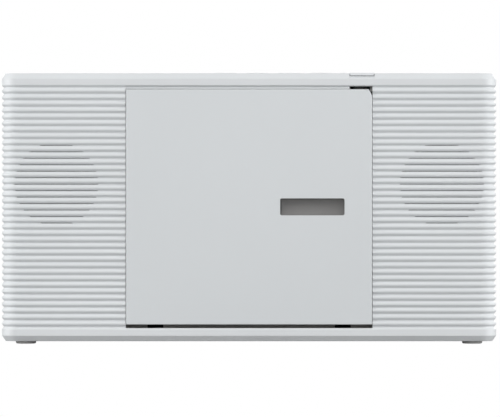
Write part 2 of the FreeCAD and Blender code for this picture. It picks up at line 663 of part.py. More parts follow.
def turntable():
    """The disc hub: a flat seat, a chuck with three sprung balls, and the spindle."""
    profile = [(0, -3.8), (5.4, -3.8), (7.2, -2.6), (7.3, 0), ("Sizes.hub_radius - 0.4", 0),
               ("Sizes.hub_radius", 0.4), ("Sizes.hub_radius", 1.8), (6, 2.2), (4, 5),
               ("Sizes.spindle_radius", 5), ("Sizes.spindle_radius", 16.6), (0, 16.6)]
    wheel = turned("Hub", profile, (0, "Sizes.seat_y", "Sizes.hub_z"), REAR)
    sockets, balls = [], []
    for index in range(3):
        angle = math.radians(90 + 120 * index)
        inner, centre = [(reach * math.cos(angle), "Sizes.seat_y - 1.6",
                          "Sizes.hub_z + %.6f" % (reach * math.sin(angle))) for reach in (4.8, 6.3)]
        outward = Vector(math.cos(angle), 0, math.sin(angle))
        sockets.append(rod("BallSocket%d" % index, inner, outward, 1.25, 4))
        balls.append(ball("ChuckBall%d" % index, centre, 1.2))
    finish(cut("Turntable", wheel, sockets), "turntable")
    finish(group("ChuckBalls", balls), "chuck_balls")


def tooth_points(teeth, phase):
    """Straight-sided teeth round a wheel, as a closed outline."""
    module = value("Sizes.tooth_module")
    radius = module * teeth / 2
    points = []
    for index in range(teeth):
        middle = 2 * math.pi * index / teeth + phase
        for reach, half in ((radius - 1, -0.68), (radius + 0.5, -0.3),
                            (radius + 0.5, 0.3), (radius - 1, 0.68)):
            angle = middle + half / reach
            points.append((reach * math.cos(angle), reach * math.sin(angle)))
    return points


def toothed_wheel(name, teeth, phase, bore, x, y, z, length):
    """A gear on an axis along Y. The outline is drawn from the tooth sizes on the sheet."""
    body = new_body(name)
    outline = sketch_on(body, name + "Teeth", "XY_Plane", 0)
    points = [Vector(a, b, 0) for a, b in tooth_points(teeth, phase)]
    for start, end in zip(points, points[1:] + points[:1]):
        outline.addGeometry(Part.LineSegment(start, end), False)
    circle(outline, (0, 0), bore)
    pad(body, outline, length)
    body.Placement = FreeCAD.Placement(Vector(), FreeCAD.Rotation(RIGHT, 90))
    place(body, (x, y, z))
    return body


def pickup_drive():
    """The sled on its two rods, its rack, the double gear and the motor with its pinion."""
    centre, x = "Sizes.hub_z", "Sizes.pickup_x"
    block = box("SledBlock", (x + " - 10", -18.2, centre + " - 16.2"),
                (x + " + 4.8", -9.8, centre + " + 16.2"))
    bores = [rod("SledBore_" + side_name(side), (x + " - 12", "Sizes.rod_y",
                 "%s + %d * Sizes.rod_offset" % (centre, side)), RIGHT,
                 "Sizes.rod_radius + 0.05", 20) for side in (-1, 1)]
    holder = box("LensHolder", (x + " - 4.5", -21.2, centre + " - 7"),
                 (x + " + 4.5", -18, centre + " + 7"))
    well = rod("LensWell", (x, -22, centre), REAR, 2.6, 3)
    sled = cut("SledBody", fuse("SledCore", [block, holder]), bores + [well])
    rack = rack_bar()
    finish(fuse("Sled", [sled, rack]), "pickup_sled")
    lens = [(0, 0), (1.6, 0.3), (2.5, 0.9), (2.5, 2), (0, 2)]
    finish(turned("PickupLens", lens, (x, -21, centre), REAR), "pickup_lens")
    rods = [rod("GuideRod_" + side_name(side), ("Sizes.rod_left", "Sizes.rod_y",
                "%s + %d * Sizes.rod_offset" % (centre, side)), RIGHT,
                "Sizes.rod_radius", "Sizes.rod_length") for side in (-1, 1)]
    finish(group("GuideRods", rods), "guide_rods")
    teeth = int(value("Sizes.pinion_teeth"))
    pinion = toothed_wheel("DrivePinion", teeth, math.pi / 2, 1, "Sizes.gear_x", -9.3, GEAR_Z, 2.9)
    wheel_teeth = int(value("Sizes.wheel_teeth"))
    wheel = toothed_wheel("DriveWheel", wheel_teeth, -math.pi / 2, 1,
                          "Sizes.gear_x", -7.8, GEAR_Z, 1.5)
    finish(fuse("DriveGear", [pinion, wheel]), "drive_gear")
    motor_teeth = int(value("Sizes.motor_teeth"))
    small = toothed_wheel("MotorGear", motor_teeth, math.pi / 2 + math.pi / motor_teeth, 0.8,
                          "Sizes.gear_x", -7.6, MOTOR_Z, 1.9)
    shaft = rod("MotorShaft", ("Sizes.gear_x", -14, MOTOR_Z), REAR, 0.8, 6.6)
    finish(fuse("MotorPinion", [small, shaft]), "motor_pinion")
    can = [(0.85, 0), (5.6, 0), (6.2, 0.6), (6.2, 4.8), (5.6, 5.4), (0.85, 5.4)]
    finish(turned("SledMotor", can, ("Sizes.gear_x", -15.6, MOTOR_Z), REAR), "sled_motor")


def rack_bar():
    """A toothed bar under the sled, long enough to stay on the gear over the whole travel."""
    pitch = math.pi * value("Sizes.tooth_module")
    line = value("Sizes.hub_z + Sizes.rack_line")
    gear = value("Sizes.gear_x")
    first, count = -1, 15
    outline = [(gear + (first - 0.5) * pitch, line + 1)]
    for index in range(first, first + count):
        middle = gear + (index + 0.5) * pitch
        outline += [(middle - 0.68, line + 1), (middle - 0.3, line - 0.5),
                    (middle + 0.3, line - 0.5), (middle + 0.68, line + 1)]
    last = gear + (first + count) * pitch
    outline += [(last, line + 1), (last, line + 2.4), (gear + (first - 0.5) * pitch, line + 2.4)]
    body = new_body("Rack")
    teeth = front_sketch(body, "RackTeeth", -9.8)
    polygon(teeth, outline)
    pad(body, teeth, 2.2)
    return body


# Speakers --------------------------------------------------------------------------------

def speaker(side):
    """One full-range driver: basket, cone with dust cap, and magnet."""
    name = side_name(side)
    start = ("%d * Sizes.speaker_x" % side, INNER_FRONT, "Sizes.speaker_z")
    vent_start = (start[0], INNER_FRONT + " + 3.6", start[2])
    outer, magnet = "Sizes.basket_radius", "Sizes.magnet_radius"
    basket = turned("Basket_" + name, [
        (22.9, 0), (outer, 0), (outer, 1.8), (24, 1.8), (24, 5), (17.5, 15), (12, 15), (12, 13.8),
        (16.9, 13.8), (22.9, 4.5)], start, REAR)
    vents = [rod("Vent%d_%s" % (index, name), vent_start,
                 Vector(math.cos(angle) * 0.87, 0.5, math.sin(angle) * 0.87), 4.4, 40)
             for index, angle in enumerate(math.radians(45 + 90 * turn) for turn in range(4))]
    finish(cut("BasketCut_" + name, basket, vents), "speaker_basket_" + name)
    finish(turned("Cone_" + name, [
        (0, 6.2), (3.5, 6.6), (6.6, 8.6), (7.2, 9.4), (18.4, 2.8), (19.2, 1.6), (20.7, 1), (21.8, 1.6),
        (22.6, 2.4), (22.6, 3), (21.4, 2.6), (20.7, 1.8), (19.8, 2.4), (18.8, 3.6), (7.6, 10.2),
        (7.2, 13.4), (6.6, 13.4), (6.4, 9.6), (3.4, 7.3), (0, 6.9)], start, REAR),
        "speaker_cone_" + name)
    finish(turned("Magnet_" + name, [
        (0, 15), (magnet, 15), (magnet, 16.6), (magnet + " - 0.8", 16.6), (magnet + " - 0.8", 22),
        (magnet, 22), (magnet, 23.6), (0, 23.6)], start, REAR), "speaker_magnet_" + name)


# Keys and display ------------------------------------------------------------------------

def key_rows():
    """Every pressed key: its name, middle and width."""
    front = ["key_stop", "key_play", "key_skip_back", "key_skip_forward"]
    rear = ["key_power", "key_source", "key_volume_down", "key_volume_up"]
    keys = []
    for row, y in ((front, "Sizes.key_front_y"), (rear, "Sizes.key_rear_y")):
        for index, name in enumerate(row):
            x = "Sizes.key_first_x + %d * Sizes.key_pitch" % index
            keys.append((name, x, y, "Sizes.key_wide"))
    keys.append(("key_repeat", "Sizes.open_left - 3.8", "Sizes.key_front_y", "Sizes.repeat_wide"))
    return keys


KEYS = key_rows()


def key_cap(name, x, y, wide):
    """A pillow-topped cap with a retaining flange under the case and a stub that presses."""
    half, deep = "%s / 2" % wide, "Sizes.key_deep / 2"
    under = INNER_TOP + " - 0.2"
    block = box(name + "_block", ("%s - %s" % (x, half), "%s - %s" % (y, deep), under + " - 0.6"),
                ("%s + %s" % (x, half), "%s + %s" % (y, deep), CASE_TOP + " + 1"))
    rounded = doc.addObject("Part::Fillet", name + "_corners")
    rounded.Base = block
    doc.recompute()
    uprights = [number for number, edge in enumerate(block.Shape.Edges, start=1)
                if abs(edge.tangentAt(edge.FirstParameter).z) > 0.9]
    rounded.Edges = [(number, 1.6, 1.6) for number in uprights]
    dome = ball(name + "_dome", (x, y, CASE_TOP + " + Sizes.key_rise - Sizes.dome_radius"),
                "Sizes.dome_radius")
    cap = doc.addObject("Part::MultiCommon", name + "_cap")
    cap.Shapes = [rounded, dome]
    side = 0.3 if name == "key_repeat" else 0.8
    flange = box(name + "_flange",
                 ("%s - %s - %s" % (x, half, side), "%s - %s - 0.8" % (y, deep), under + " - 1.2"),
                 ("%s + %s + %s" % (x, half, side), "%s + %s + 0.8" % (y, deep), under))
    stub = rod(name + "_stub", (x, y, under + " - 1.2"), DOWN, 1.4, 0.3)
    finish(fuse(name + "_whole", [cap, flange, stub]), name)


def open_key():
    """The door key on the front top edge: its front end follows the bevel of the case."""
    body = new_body("OpenKey")
    section = sketch_on(body, "OpenKeySection", "YZ_Plane", "Sizes.open_left")
    top, front = CASE_TOP + " + 0.25", FRONT_Y
    polygon(section, [(front + " + 1.2", CASE_TOP + " - 1.3"),
                      (front + " + Sizes.facet_depth", top),
                      ("Sizes.open_rear", top),
                      ("Sizes.open_rear", INNER_TOP + " - 0.4"),
                      (-28, INNER_TOP + " - 0.4"),
                      (-28, CASE_TOP + " - 1.3")])
    plate = pad(body, section, "Sizes.open_right - Sizes.open_left")
    fillet(body, plate, lambda p: near(p.z, top), 0.4)
    leg = sketch_on(body, "LatchLeg", "YZ_Plane", 57.2)
    polygon(leg, [(-30.4, CASE_TOP + " - 1"), (-30.4, 137), (-31.2, 136.4), (-31.2, 135.4),
                  (-30, 134.8), (-29, 135.4), (-29, CASE_TOP + " - 1")])
    pad(body, leg, 6.6)
    finish(body, "open_key")


def key_board():
    low = "Sizes.key_board_z"
    top = low + " + Sizes.key_board_thick"
    board = box("KeyBoardPlate", (-32, -24.2, low), (55, -1.6, top))
    cable = box("DisplayCable", (-40, -14, low + " + 0.3"), (-31.9, -9, low + " + 0.7"))
    finish(fuse("KeyBoard", [board, cable]), "key_board")
    switches = []
    for index, (name, x, y, wide) in enumerate(KEYS):
        half = 2.6 if name == "key_repeat" else 3
        base = box("SwitchBase%d" % index, ("%s - %s" % (x, half), "%s - 3" % y, top),
                   ("%s + %s" % (x, half), "%s + 3" % y, top + " + 1.4"))
        plunger = rod("SwitchPlunger%d" % index, (x, y, top + " + 1.4"), UP, 1.6, 0.45)
        switches.append(fuse("Switch%d" % index, [base, plunger]))
    finish(group("Switches", switches), "tact_switches")


def display():
    left, right = "Sizes.display_left", "Sizes.display_right"
    front, rear = "Sizes.display_front", "Sizes.display_rear"
    frame = box("DisplayFrame", (left + " - 2", front + " - 2", INNER_TOP + " - 4.5"),
                (right + " + 2", rear + " + 2", INNER_TOP))
    glass = box("DisplayGlass", (left + " + 1.5", front + " + 1.5", INNER_TOP + " - 1.1"),
                (right + " - 1.5", rear + " - 1.5", CASE_TOP + " - 1.3"))
    finish(fuse("DisplayModule", [frame, glass]), "display_module")
    gap = "Sizes.display_gap"
    lens = box("DisplayLensPlate", ("%s + %s" % (left, gap), "%s + %s" % (front, gap),
                                    CASE_TOP + " - Sizes.display_lens_thick"),
               ("%s - %s" % (right, gap), "%s - %s" % (rear, gap), CASE_TOP))
    finish(lens, "display_lens")


# Rear and inside -------------------------------------------------------------------------

def battery_bay():
    half, low, high = "Sizes.battery_half", "Sizes.battery_bottom", "Sizes.battery_top"
    outer = box("BayOuter", ("-%s - 2" % half, "Sizes.battery_y - 2", low + " - 2"),
                (half + " + 2", INNER_REAR, high + " + 2"))
    inner = box("BayInner", ("-" + half, "Sizes.battery_y", low), (half, REAR_Y, high))
    rib = box("BayRib", ("-" + half, "Sizes.battery_y", "(%s + %s) / 2 - 0.8" % (low, high)),
              (half, "Sizes.battery_y + 8", "(%s + %s) / 2 + 0.8" % (low, high)))
    finish(fuse("Bay", [cut("BayShell", outer, [inner]), rib]), "battery_bay")
    plates, springs = [], []
    plate, wire = 0.4, 0.5
    for side in (-1, 1):
        for row, z in enumerate((21, 47.4)):
            middle = side * (value(half) - plate / 2)
            plates.append(box("Contact%d_%s" % (row, side_name(side)),
                              (middle - plate / 2, 12, z - 6), (middle + plate / 2, 26, z + 6)))
            if side == (1 if row else -1):
                start = (middle - side * (plate / 2 + wire + 0.05), 19, z)
                springs.append(coil(4, 2.2, 4, wire, start, Vector(-side, 0, 0)))
    finish(group("Contacts", plates), "battery_contacts")
    wound = doc.addObject("Part::Feature", "BatterySprings")
    wound.Shape = Part.Compound(springs)
    finish(wound, "battery_springs")


def battery_cover():
    half = "Sizes.battery_half - 0.4"
    panel = box("BatteryPanel", ("-(%s)" % half, INNER_REAR + " + 0.3", "Sizes.battery_bottom + 0.5"),
                (half, REAR_Y, "Sizes.battery_top - 0.4"))
    grips = [box("CoverGrip%d" % index, (-14, REAR_Y + " - 0.7", 52 + 2 * index),
                 (14, REAR_Y + " + 1", 53 + 2 * index)) for index in range(3)]
    tongue = box("CoverTongue", (-8, INNER_REAR + " - 1.6", "Sizes.battery_top - 3"),
                 (8, INNER_REAR + " + 0.5", "Sizes.battery_top - 1.4"))
    pivots = [rod("CoverPivot_" + side_name(side),
                  ("%d * Sizes.battery_half - 0.6" % side, "Sizes.cover_pivot_y",
                   "Sizes.cover_pivot_z"), RIGHT, 0.9, 1.2) for side in (-1, 1)]
    finish(fuse("BatteryCover", [cut("CoverPanel", panel, grips), tongue] + pivots),
           "battery_cover")


def mains_inlet():
    """A two-pin mains inlet, its socket open to the rear."""
    x, z = "Sizes.inlet_x", "Sizes.inlet_z"
    housing = box("InletHousing", (x + " - 10.2", 20, z + " - 5.9"), (x + " + 10.2", REAR_Y, z + " + 5.9"))
    middle = box("InletSlot", (x + " - 4.3", 23, z + " - 3.9"), (x + " + 4.3", 40, z + " + 3.9"))
    ends = [rod("InletEnd_" + side_name(side), ("%s + %s" % (x, side * 4.3), 23, z), REAR, 3.9, 17)
            for side in (-1, 1)]
    pins = [rod("InletPin_" + side_name(side), ("%s + %s" % (x, side * 4.3), 18, z), REAR, 1.15, 14)
            for side in (-1, 1)]
    finish(cut("Inlet", cut("InletSocket", housing, [middle] + ends),
               [rod("InletPinHole_" + side_name(side), ("%s + %s" % (x, side * 4.3), 19, z), REAR,
                    1.15, 6) for side in (-1, 1)]), "mains_inlet")
    finish(group("InletPins", pins), "inlet_pins")


def headphone_jack():
    y, z = "Sizes.jack_y", "Sizes.jack_z"
    block = box("JackBlock", (118, y + " - 5", z + " - 5"), (INNER_HALF, y + " + 5", z + " + 5"))
    nose = rod("JackNose", (INNER_HALF, y, z), RIGHT, 3, "Sizes.wall")
    bore = rod("JackBore", (119.5, y, z), RIGHT, "Sizes.jack_bore", 20)
    finish(cut("Jack", fuse("JackWhole", [block, nose]), [bore]), "headphone_jack")


def power_supply():
    core = box("TransformerCore", (-128, 0, 34), (-98, 22, 60))
    hole = box("TransformerWindow", (-122, -1, 40), (-104, 23, 54))
    finish(cut("Transformer", core, [hole]), "transformer_core")
    coil_block = box("TransformerCoil", (-121.8, -4, 40.2), (-104.2, 26, 53.8))
    finish(coil_block, "transformer_coil")


def electronics():
    board = box("MainBoardPlate", (84, 3.4, 44), (130, 5, 118))
    finish(board, "main_board")
    base = box("SinkBase", (98, 5, 60), (126, 7, 84))
    fins = [box("SinkFin%d" % index, (98 + 5.2 * index, 6.9, 60), (100 + 5.2 * index, 20, 84))
            for index in range(6)]
    finish(fuse("HeatSink", [base] + fins), "heat_sink")
    cans = [rod("Capacitor%d" % index, (92 + 12 * index, 5, 100), REAR, 4.5, 14) for index in range(3)]
    finish(group("Capacitors", cans), "capacitors")
    chips = [box("Chip%d" % index, (88, 5, 50 + 16 * index), (95, 7, 62 + 16 * index))
             for index in range(2)]
    finish(group("Chips", chips), "board_chips")
    y, z, radius = "Sizes.ferrite_y", "Sizes.ferrite_z", "Sizes.ferrite_radius"
    bar = rod("FerriteBar", ("-Sizes.ferrite_length / 2", y, z), RIGHT, radius,
              "Sizes.ferrite_length")
    finish(bar, "ferrite_bar")
    outer = rod("WindingOuter", (-16, y, z), RIGHT, radius + " + 1.5", 32)
    inner = rod("WindingInner", (-17, y, z), RIGHT, radius + " + 0.1", 34)
    finish(cut("AerialWinding", outer, [inner]), "aerial_winding")


def rod_aerial():
    """A telescopic rod that lies along the rear top edge and swings up about its stud."""
    x, y, z = "Sizes.aerial_x", "Sizes.aerial_y", "Sizes.aerial_z"
    barrel = rod("AerialBarrel", (x, 29.3, z), REAR, 3.3, 5.2)
    stud = rod("AerialStud", (x, 25.2, z), REAR, 2, 5)
    neck = box("AerialNeck", (x + " - 8", y + " - 2.3", z + " - 2.3"), (x, y + " + 2.3", z + " + 2.3"))
    socket = rod("AerialSocket", (x + " - 4", y, z), LEFT, 1.55, 10)
    finish(cut("AerialKnuckle", fuse("AerialKnuckleCore", [barrel, stud, neck]), [socket]),
           "aerial_knuckle")
    start = (x + " - 8", y, z)
    length = "Sizes.aerial_length"
    tube = cut("AerialTubeCut", rod("AerialTubeOuter", start, LEFT, 2.5, length),
               [rod("AerialTubeInner", start, LEFT, 2.05, length + " + 1")])
    finish(tube, "aerial_tube")
    inner_start = (x + " - 9", y, z)
    middle = cut("AerialMiddleCut", rod("AerialMiddleOuter", inner_start, LEFT, 2, length + " - 1"),
                 [rod("AerialMiddleInner", inner_start, LEFT, 1.5, length)])
    finish(middle, "aerial_middle")
    tip_end = "%s - 8 - %s" % (x, length)
    tip = fuse("AerialTip", [rod("AerialTipRod", (x + " - 10", y, z), LEFT, 1.45, length + " - 1"),
                             rod("AerialTipCap", (tip_end + " - 0.5", y, z), LEFT, 2.4, 4)])
    finish(tip, "aerial_tip")


# Build, check and write ------------------------------------------------------------------

def build():
    front_cabinet()
    rear_cover()
    feet()
    case_screws()
    door_panel()
    window_lens()
    hinge_pins()
    disc_deck()
    mech_chassis()
    mech_dampers()
    spindle_motor()
    turntable()
    pickup_drive()
    for side in (-1, 1):
        speaker(side)
    for key in KEYS:
        key_cap(*key)
    open_key()
    key_board()
    display()
    battery_bay()
    battery_cover()
    mains_inlet()
    headphone_jack()
    power_supply()
    electronics()
    rod_aerial()


def check_document():
    for item in doc.Objects:
        if {"Invalid", "Error"} & set(item.State):
            raise RuntimeError("%s is %s" % (item.Name, item.State))
    for piece in finished:
        if piece.Shape.isNull() or not piece.Shape.isValid():
            raise RuntimeError("%s has no valid shape" % piece.Label)


def write_parts():
    os.makedirs("parts", exist_ok=True)
    for piece in finished:
        piece.Shape.exportStep(os.path.join("parts", piece.Label + ".step"))
        size = piece.Shape.BoundBox
        print("%-22s %8.1f mm3, %.1f x %.1f x %.1f" % (
            piece.Label, piece.Shape.Volume, size.XLength, size.YLength, size.ZLength))


build()
doc.recompute()
check_document()
write_parts()
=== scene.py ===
import math

import bmesh
import bpy
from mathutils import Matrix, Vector


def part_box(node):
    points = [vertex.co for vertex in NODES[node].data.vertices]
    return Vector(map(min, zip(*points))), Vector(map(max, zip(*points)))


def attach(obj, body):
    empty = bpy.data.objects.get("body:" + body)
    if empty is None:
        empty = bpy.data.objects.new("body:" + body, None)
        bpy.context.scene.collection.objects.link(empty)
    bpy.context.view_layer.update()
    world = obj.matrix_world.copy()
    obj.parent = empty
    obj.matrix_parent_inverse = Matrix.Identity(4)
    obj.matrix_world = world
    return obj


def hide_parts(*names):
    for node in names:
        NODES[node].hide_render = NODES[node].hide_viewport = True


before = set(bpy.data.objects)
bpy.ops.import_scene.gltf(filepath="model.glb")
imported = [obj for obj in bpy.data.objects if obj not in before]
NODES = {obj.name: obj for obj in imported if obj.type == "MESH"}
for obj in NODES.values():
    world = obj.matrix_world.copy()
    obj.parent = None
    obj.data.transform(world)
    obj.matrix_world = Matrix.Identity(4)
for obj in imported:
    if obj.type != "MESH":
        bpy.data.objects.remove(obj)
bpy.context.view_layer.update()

# Looks of a slim shelf hi-fi: a pale ribbed case, a plain door with a small window, low keys.
# Metres, in the frame of the CAD model: X to the right, the front faces -Y, Z up.

MM = 0.001
CASE_LOW, CASE_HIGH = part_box("front_cabinet")
MIDDLE = (CASE_LOW + CASE_HIGH) / 2


# Node helpers ----------------------------------------------------------------------------

class Shader:
    """A material's node tree with short ways to add and join nodes."""

    def __init__(self, name):
        self.material = bpy.data.materials.new(name)
        self.material.use_nodes = True
        self.nodes = self.material.node_tree.nodes
        self.links = self.material.node_tree.links
        self.surface = self.nodes["Principled BSDF"]
        self.place = self.nodes.new("ShaderNodeTexCoord").outputs["Object"]

    def join(self, start, end):
        self.links.new(start, end)

    def noise(self, scale, detail=3, stretch=None):
        """Noise over the object's own coordinates, per metre."""
        node = self.nodes.new("ShaderNodeTexNoise")
        node.inputs["Scale"].default_value = scale
        node.inputs["Detail"].default_value = detail
        place = self.place
        if stretch:
            mapping = self.nodes.new("ShaderNodeMapping")
            mapping.inputs["Scale"].default_value = stretch
            self.join(place, mapping.inputs["Vector"])
            place = mapping.outputs["Vector"]
        self.join(place, node.inputs["Vector"])
        return node.outputs["Fac"]

    def spread(self, source, low, high, out_low, out_high):
        """Map one range onto another, clamped."""
        node = self.nodes.new("ShaderNodeMapRange")
        for name, size in (("From Min", low), ("From Max", high),
                           ("To Min", out_low), ("To Max", out_high)):
            node.inputs[name].default_value = size
        self.join(source, node.inputs["Value"])
        return node.outputs["Result"]

    def blend(self, amount, first, second):
        """Mix two colours; each is a socket or an RGB triple."""
        node = self.nodes.new("ShaderNodeMix")
        node.data_type = "RGBA"
        if hasattr(amount, "links"):
            self.join(amount, node.inputs["Factor"])
        else:
            node.inputs["Factor"].default_value = amount
        for socket, colour in ((node.inputs[6], first), (node.inputs[7], second)):
            if hasattr(colour, "links"):
                self.join(colour, socket)
            else:
                socket.default_value = (*colour, 1)
        return node.outputs[2]

    def maths(self, kind, first, second):
        node = self.nodes.new("ShaderNodeMath")
        node.operation = kind
        for socket, item in zip(node.inputs, (first, second)):
            if hasattr(item, "links"):
                self.join(item, socket)
            else:
                socket.default_value = item
        return node.outputs[0]

    def edges(self, radius):
        """1 on convex and concave edges, 0 on flats: how far a rounded normal leans away."""
        bevel = self.nodes.new("ShaderNodeBevel")
        bevel.samples = 4
        bevel.inputs["Radius"].default_value = radius
        geometry = self.nodes.new("ShaderNodeNewGeometry")
        dot = self.nodes.new("ShaderNodeVectorMath")
        dot.operation = "DOT_PRODUCT"
        self.join(bevel.outputs["Normal"], dot.inputs[0])
        self.join(geometry.outputs["Normal"], dot.inputs[1])
        return self.spread(dot.outputs["Value"], 1.0, 0.8, 0.0, 1.0)

    def bump(self, height, strength, distance):
        node = self.nodes.new("ShaderNodeBump")
        node.inputs["Strength"].default_value = strength
        node.inputs["Distance"].default_value = distance
        self.join(height, node.inputs["Height"])
        self.join(node.outputs["Normal"], self.surface.inputs["Normal"])

    def colour(self, source):
        self.join(source, self.surface.inputs["Base Color"])

    def set(self, **values):
        for name, size in values.items():
            self.surface.inputs[name.replace("_", " ")].default_value = size


def moulded(name, colour, rough, grain_size, grain_depth, wear=0.12, mottle=0.03):
    """Moulded plastic or rubber: faint mottling, a spark-eroded grain and rubbed edges."""
    shader = Shader(name)
    cloud = shader.spread(shader.noise(14, 4), 0.35, 0.65, 0, 1)
    darker = tuple(part * (1 - mottle) for part in colour)
    tinted = shader.blend(cloud, colour, darker)
    lighter = tuple(min(1, part * 1.06 + 0.02) for part in colour)
    edge = shader.edges(0.5 * MM)
    scuff = shader.spread(shader.noise(160, 3), 0.4, 0.6, 0.3, 1)
    rubbed = shader.maths("MULTIPLY", edge, scuff)
    shader.colour(shader.blend(shader.maths("MULTIPLY", rubbed, wear * 4), tinted, lighter))
    patchy = shader.spread(shader.noise(55, 3), 0.3, 0.7, rough - 0.035, rough + 0.035)
    polished = shader.maths("MULTIPLY", rubbed, wear)
    shader.join(shader.maths("SUBTRACT", patchy, polished), shader.surface.inputs["Roughness"])
    shader.bump(shader.noise(1 / (grain_size * MM), 2), 0.5, grain_depth * MM)
    return shader.material


def metal(name, colour, rough, brushed=None):
    """Plated, rolled or turned metal with fine directional scratches."""
    shader = Shader(name)
    lines = shader.noise(900, 3, brushed or (1, 1, 1))
    darker = tuple(part * 0.82 for part in colour)
    shader.colour(shader.blend(shader.spread(shader.noise(40, 4), 0.3, 0.7, 0, 1), colour, darker))
    shader.join(shader.spread(lines, 0.3, 0.7, rough - 0.06, rough + 0.09),
                shader.surface.inputs["Roughness"])
    shader.bump(lines, 0.15, 0.01 * MM)
    shader.set(Metallic=1.0)
    return shader.material


def clear(name, colour, rough, alpha):
    """A clear moulded window: mostly transparent, with faint haze and a smooth gloss."""
    shader = Shader(name)
    haze = shader.spread(shader.noise(220, 4), 0.4, 0.7, 0, 1)
    shader.colour(shader.blend(haze, colour, tuple(part * 0.9 for part in colour)))
    shader.join(shader.spread(shader.noise(90, 3), 0.3, 0.7, rough, rough + 0.03),
                shader.surface.inputs["Roughness"])
    shader.bump(shader.noise(300, 2), 0.05, 0.01 * MM)
    shader.set(Alpha=alpha, IOR=1.49)
    return shader.material


def paper(name, colour):
    """Pressed speaker paper with short fibres."""
    shader = Shader(name)
    fibres = shader.noise(1400, 5, (1, 1, 0.35))
    shader.colour(shader.blend(shader.spread(fibres, 0.35, 0.65, 0, 1), colour,
                               tuple(part * 1.7 for part in colour)))
    shader.join(shader.spread(shader.noise(300, 3), 0.3, 0.7, 0.75, 0.92),
                shader.surface.inputs["Roughness"])
    shader.bump(fibres, 0.5, 0.05 * MM)
    return shader.material


def circuit_board(name):
    """Green solder mask with slightly raised copper tracks under it."""
    shader = Shader(name)
    brick = shader.nodes.new("ShaderNodeTexBrick")
    for key, size in (("Scale", 260), ("Mortar Size", 0.06), ("Brick Width", 0.9),
                      ("Row Height", 0.35)):
        brick.inputs[key].default_value = size
    shader.join(shader.place, brick.inputs["Vector"])
    tracks = brick.outputs["Fac"]
    shader.colour(shader.blend(tracks, (0.02, 0.14, 0.05), (0.05, 0.24, 0.08)))
    shader.join(shader.spread(shader.noise(80), 0.3, 0.7, 0.28, 0.4),
                shader.surface.inputs["Roughness"])
    shader.bump(tracks, 0.3, 0.04 * MM)
    return shader.material


def winding(name, colour, direction):
    """Fine enamelled wire, wound side by side."""
    shader = Shader(name)
    wave = shader.nodes.new("ShaderNodeTexWave")
    wave.bands_direction = direction
    wave.inputs["Scale"].default_value = 700
    wave.inputs["Distortion"].default_value = 0.6
    shader.join(shader.place, wave.inputs["Vector"])
    shader.colour(shader.blend(wave.outputs["Fac"], tuple(part * 0.45 for part in colour), colour))
    shader.join(shader.spread(shader.noise(200), 0.3, 0.7, 0.25, 0.4),
                shader.surface.inputs["Roughness"])
    shader.bump(wave.outputs["Fac"], 0.6, 0.08 * MM)
    shader.set(Metallic=0.6)
    return shader.material


def lcd(name):
    """A reflective liquid-crystal panel: a faint cell grid under a polariser."""
    shader = Shader(name)
    brick = shader.nodes.new("ShaderNodeTexBrick")
    brick.offset = 0
    for key, size in (("Scale", 420), ("Mortar Size", 0.03), ("Brick Width", 0.5),
                      ("Row Height", 0.8)):
        brick.inputs[key].default_value = size
    shader.join(shader.place, brick.inputs["Vector"])
    shader.colour(shader.blend(brick.outputs["Fac"], (0.26, 0.29, 0.24), (0.3, 0.33, 0.27)))
    shader.join(shader.spread(shader.noise(60), 0.3, 0.7, 0.22, 0.32),
                shader.surface.inputs["Roughness"])
    return shader.material


def make_materials():
    """Every finish, by a short name. A moulded grain's size and depth are in millimetres."""
    return {
        "case": moulded("HousingPlastic", (0.66, 0.68, 0.695), 0.46, 0.28, 0.012),
        "door": moulded("DoorPlastic", (0.62, 0.645, 0.66), 0.36, 0.4, 0.006, mottle=0.015),
        "keys": moulded("KeyPlastic", (0.64, 0.66, 0.675), 0.38, 0.22, 0.008),
        "deck": moulded("DeckPlastic", (0.38, 0.371, 0.363), 0.5, 0.25, 0.016),
        "print": moulded("PrintedInk", (0.09, 0.095, 0.1), 0.5, 0.2, 0.004),
        "dark": moulded("DarkPlastic", (0.016, 0.016, 0.017), 0.42, 0.25, 0.012),
        "rubber": moulded("FootRubber", (0.78, 0.78, 0.77), 0.8, 0.35, 0.03),
        "natural": moulded("GearAcetal", (0.78, 0.77, 0.72), 0.4, 0.3, 0.006),
        "steel": metal("ZincSteel", (0.56, 0.57, 0.58), 0.34),
        "bright": metal("BrightPlate", (0.78, 0.79, 0.8), 0.14, (0.05, 1, 1)),
        "sheet": metal("PressedSheet", (0.5, 0.5, 0.5), 0.42, (0.04, 1, 1)),
        "alloy": metal("Alloy", (0.72, 0.73, 0.74), 0.36, (1, 1, 0.05)),
        "brass": metal("Brass", (0.72, 0.5, 0.2), 0.3),
        "magnet": metal("MagnetPlate", (0.22, 0.22, 0.23), 0.5),
        "ferrite": moulded("Ferrite", (0.045, 0.043, 0.042), 0.62, 0.3, 0.02),
        "copper": winding("Winding", (0.55, 0.2, 0.07), "X"),
        "cone": paper("ConePaper", (0.16, 0.165, 0.17)),
        "board": circuit_board("SolderMask"),
        "lcd": lcd("LiquidCrystal"),
        "window": clear("WindowClear", (0.48, 0.475, 0.47), 0.06, 0.12),
        "display": clear("DisplaySmoke", (0.05, 0.055, 0.055), 0.08, 0.55),
    }


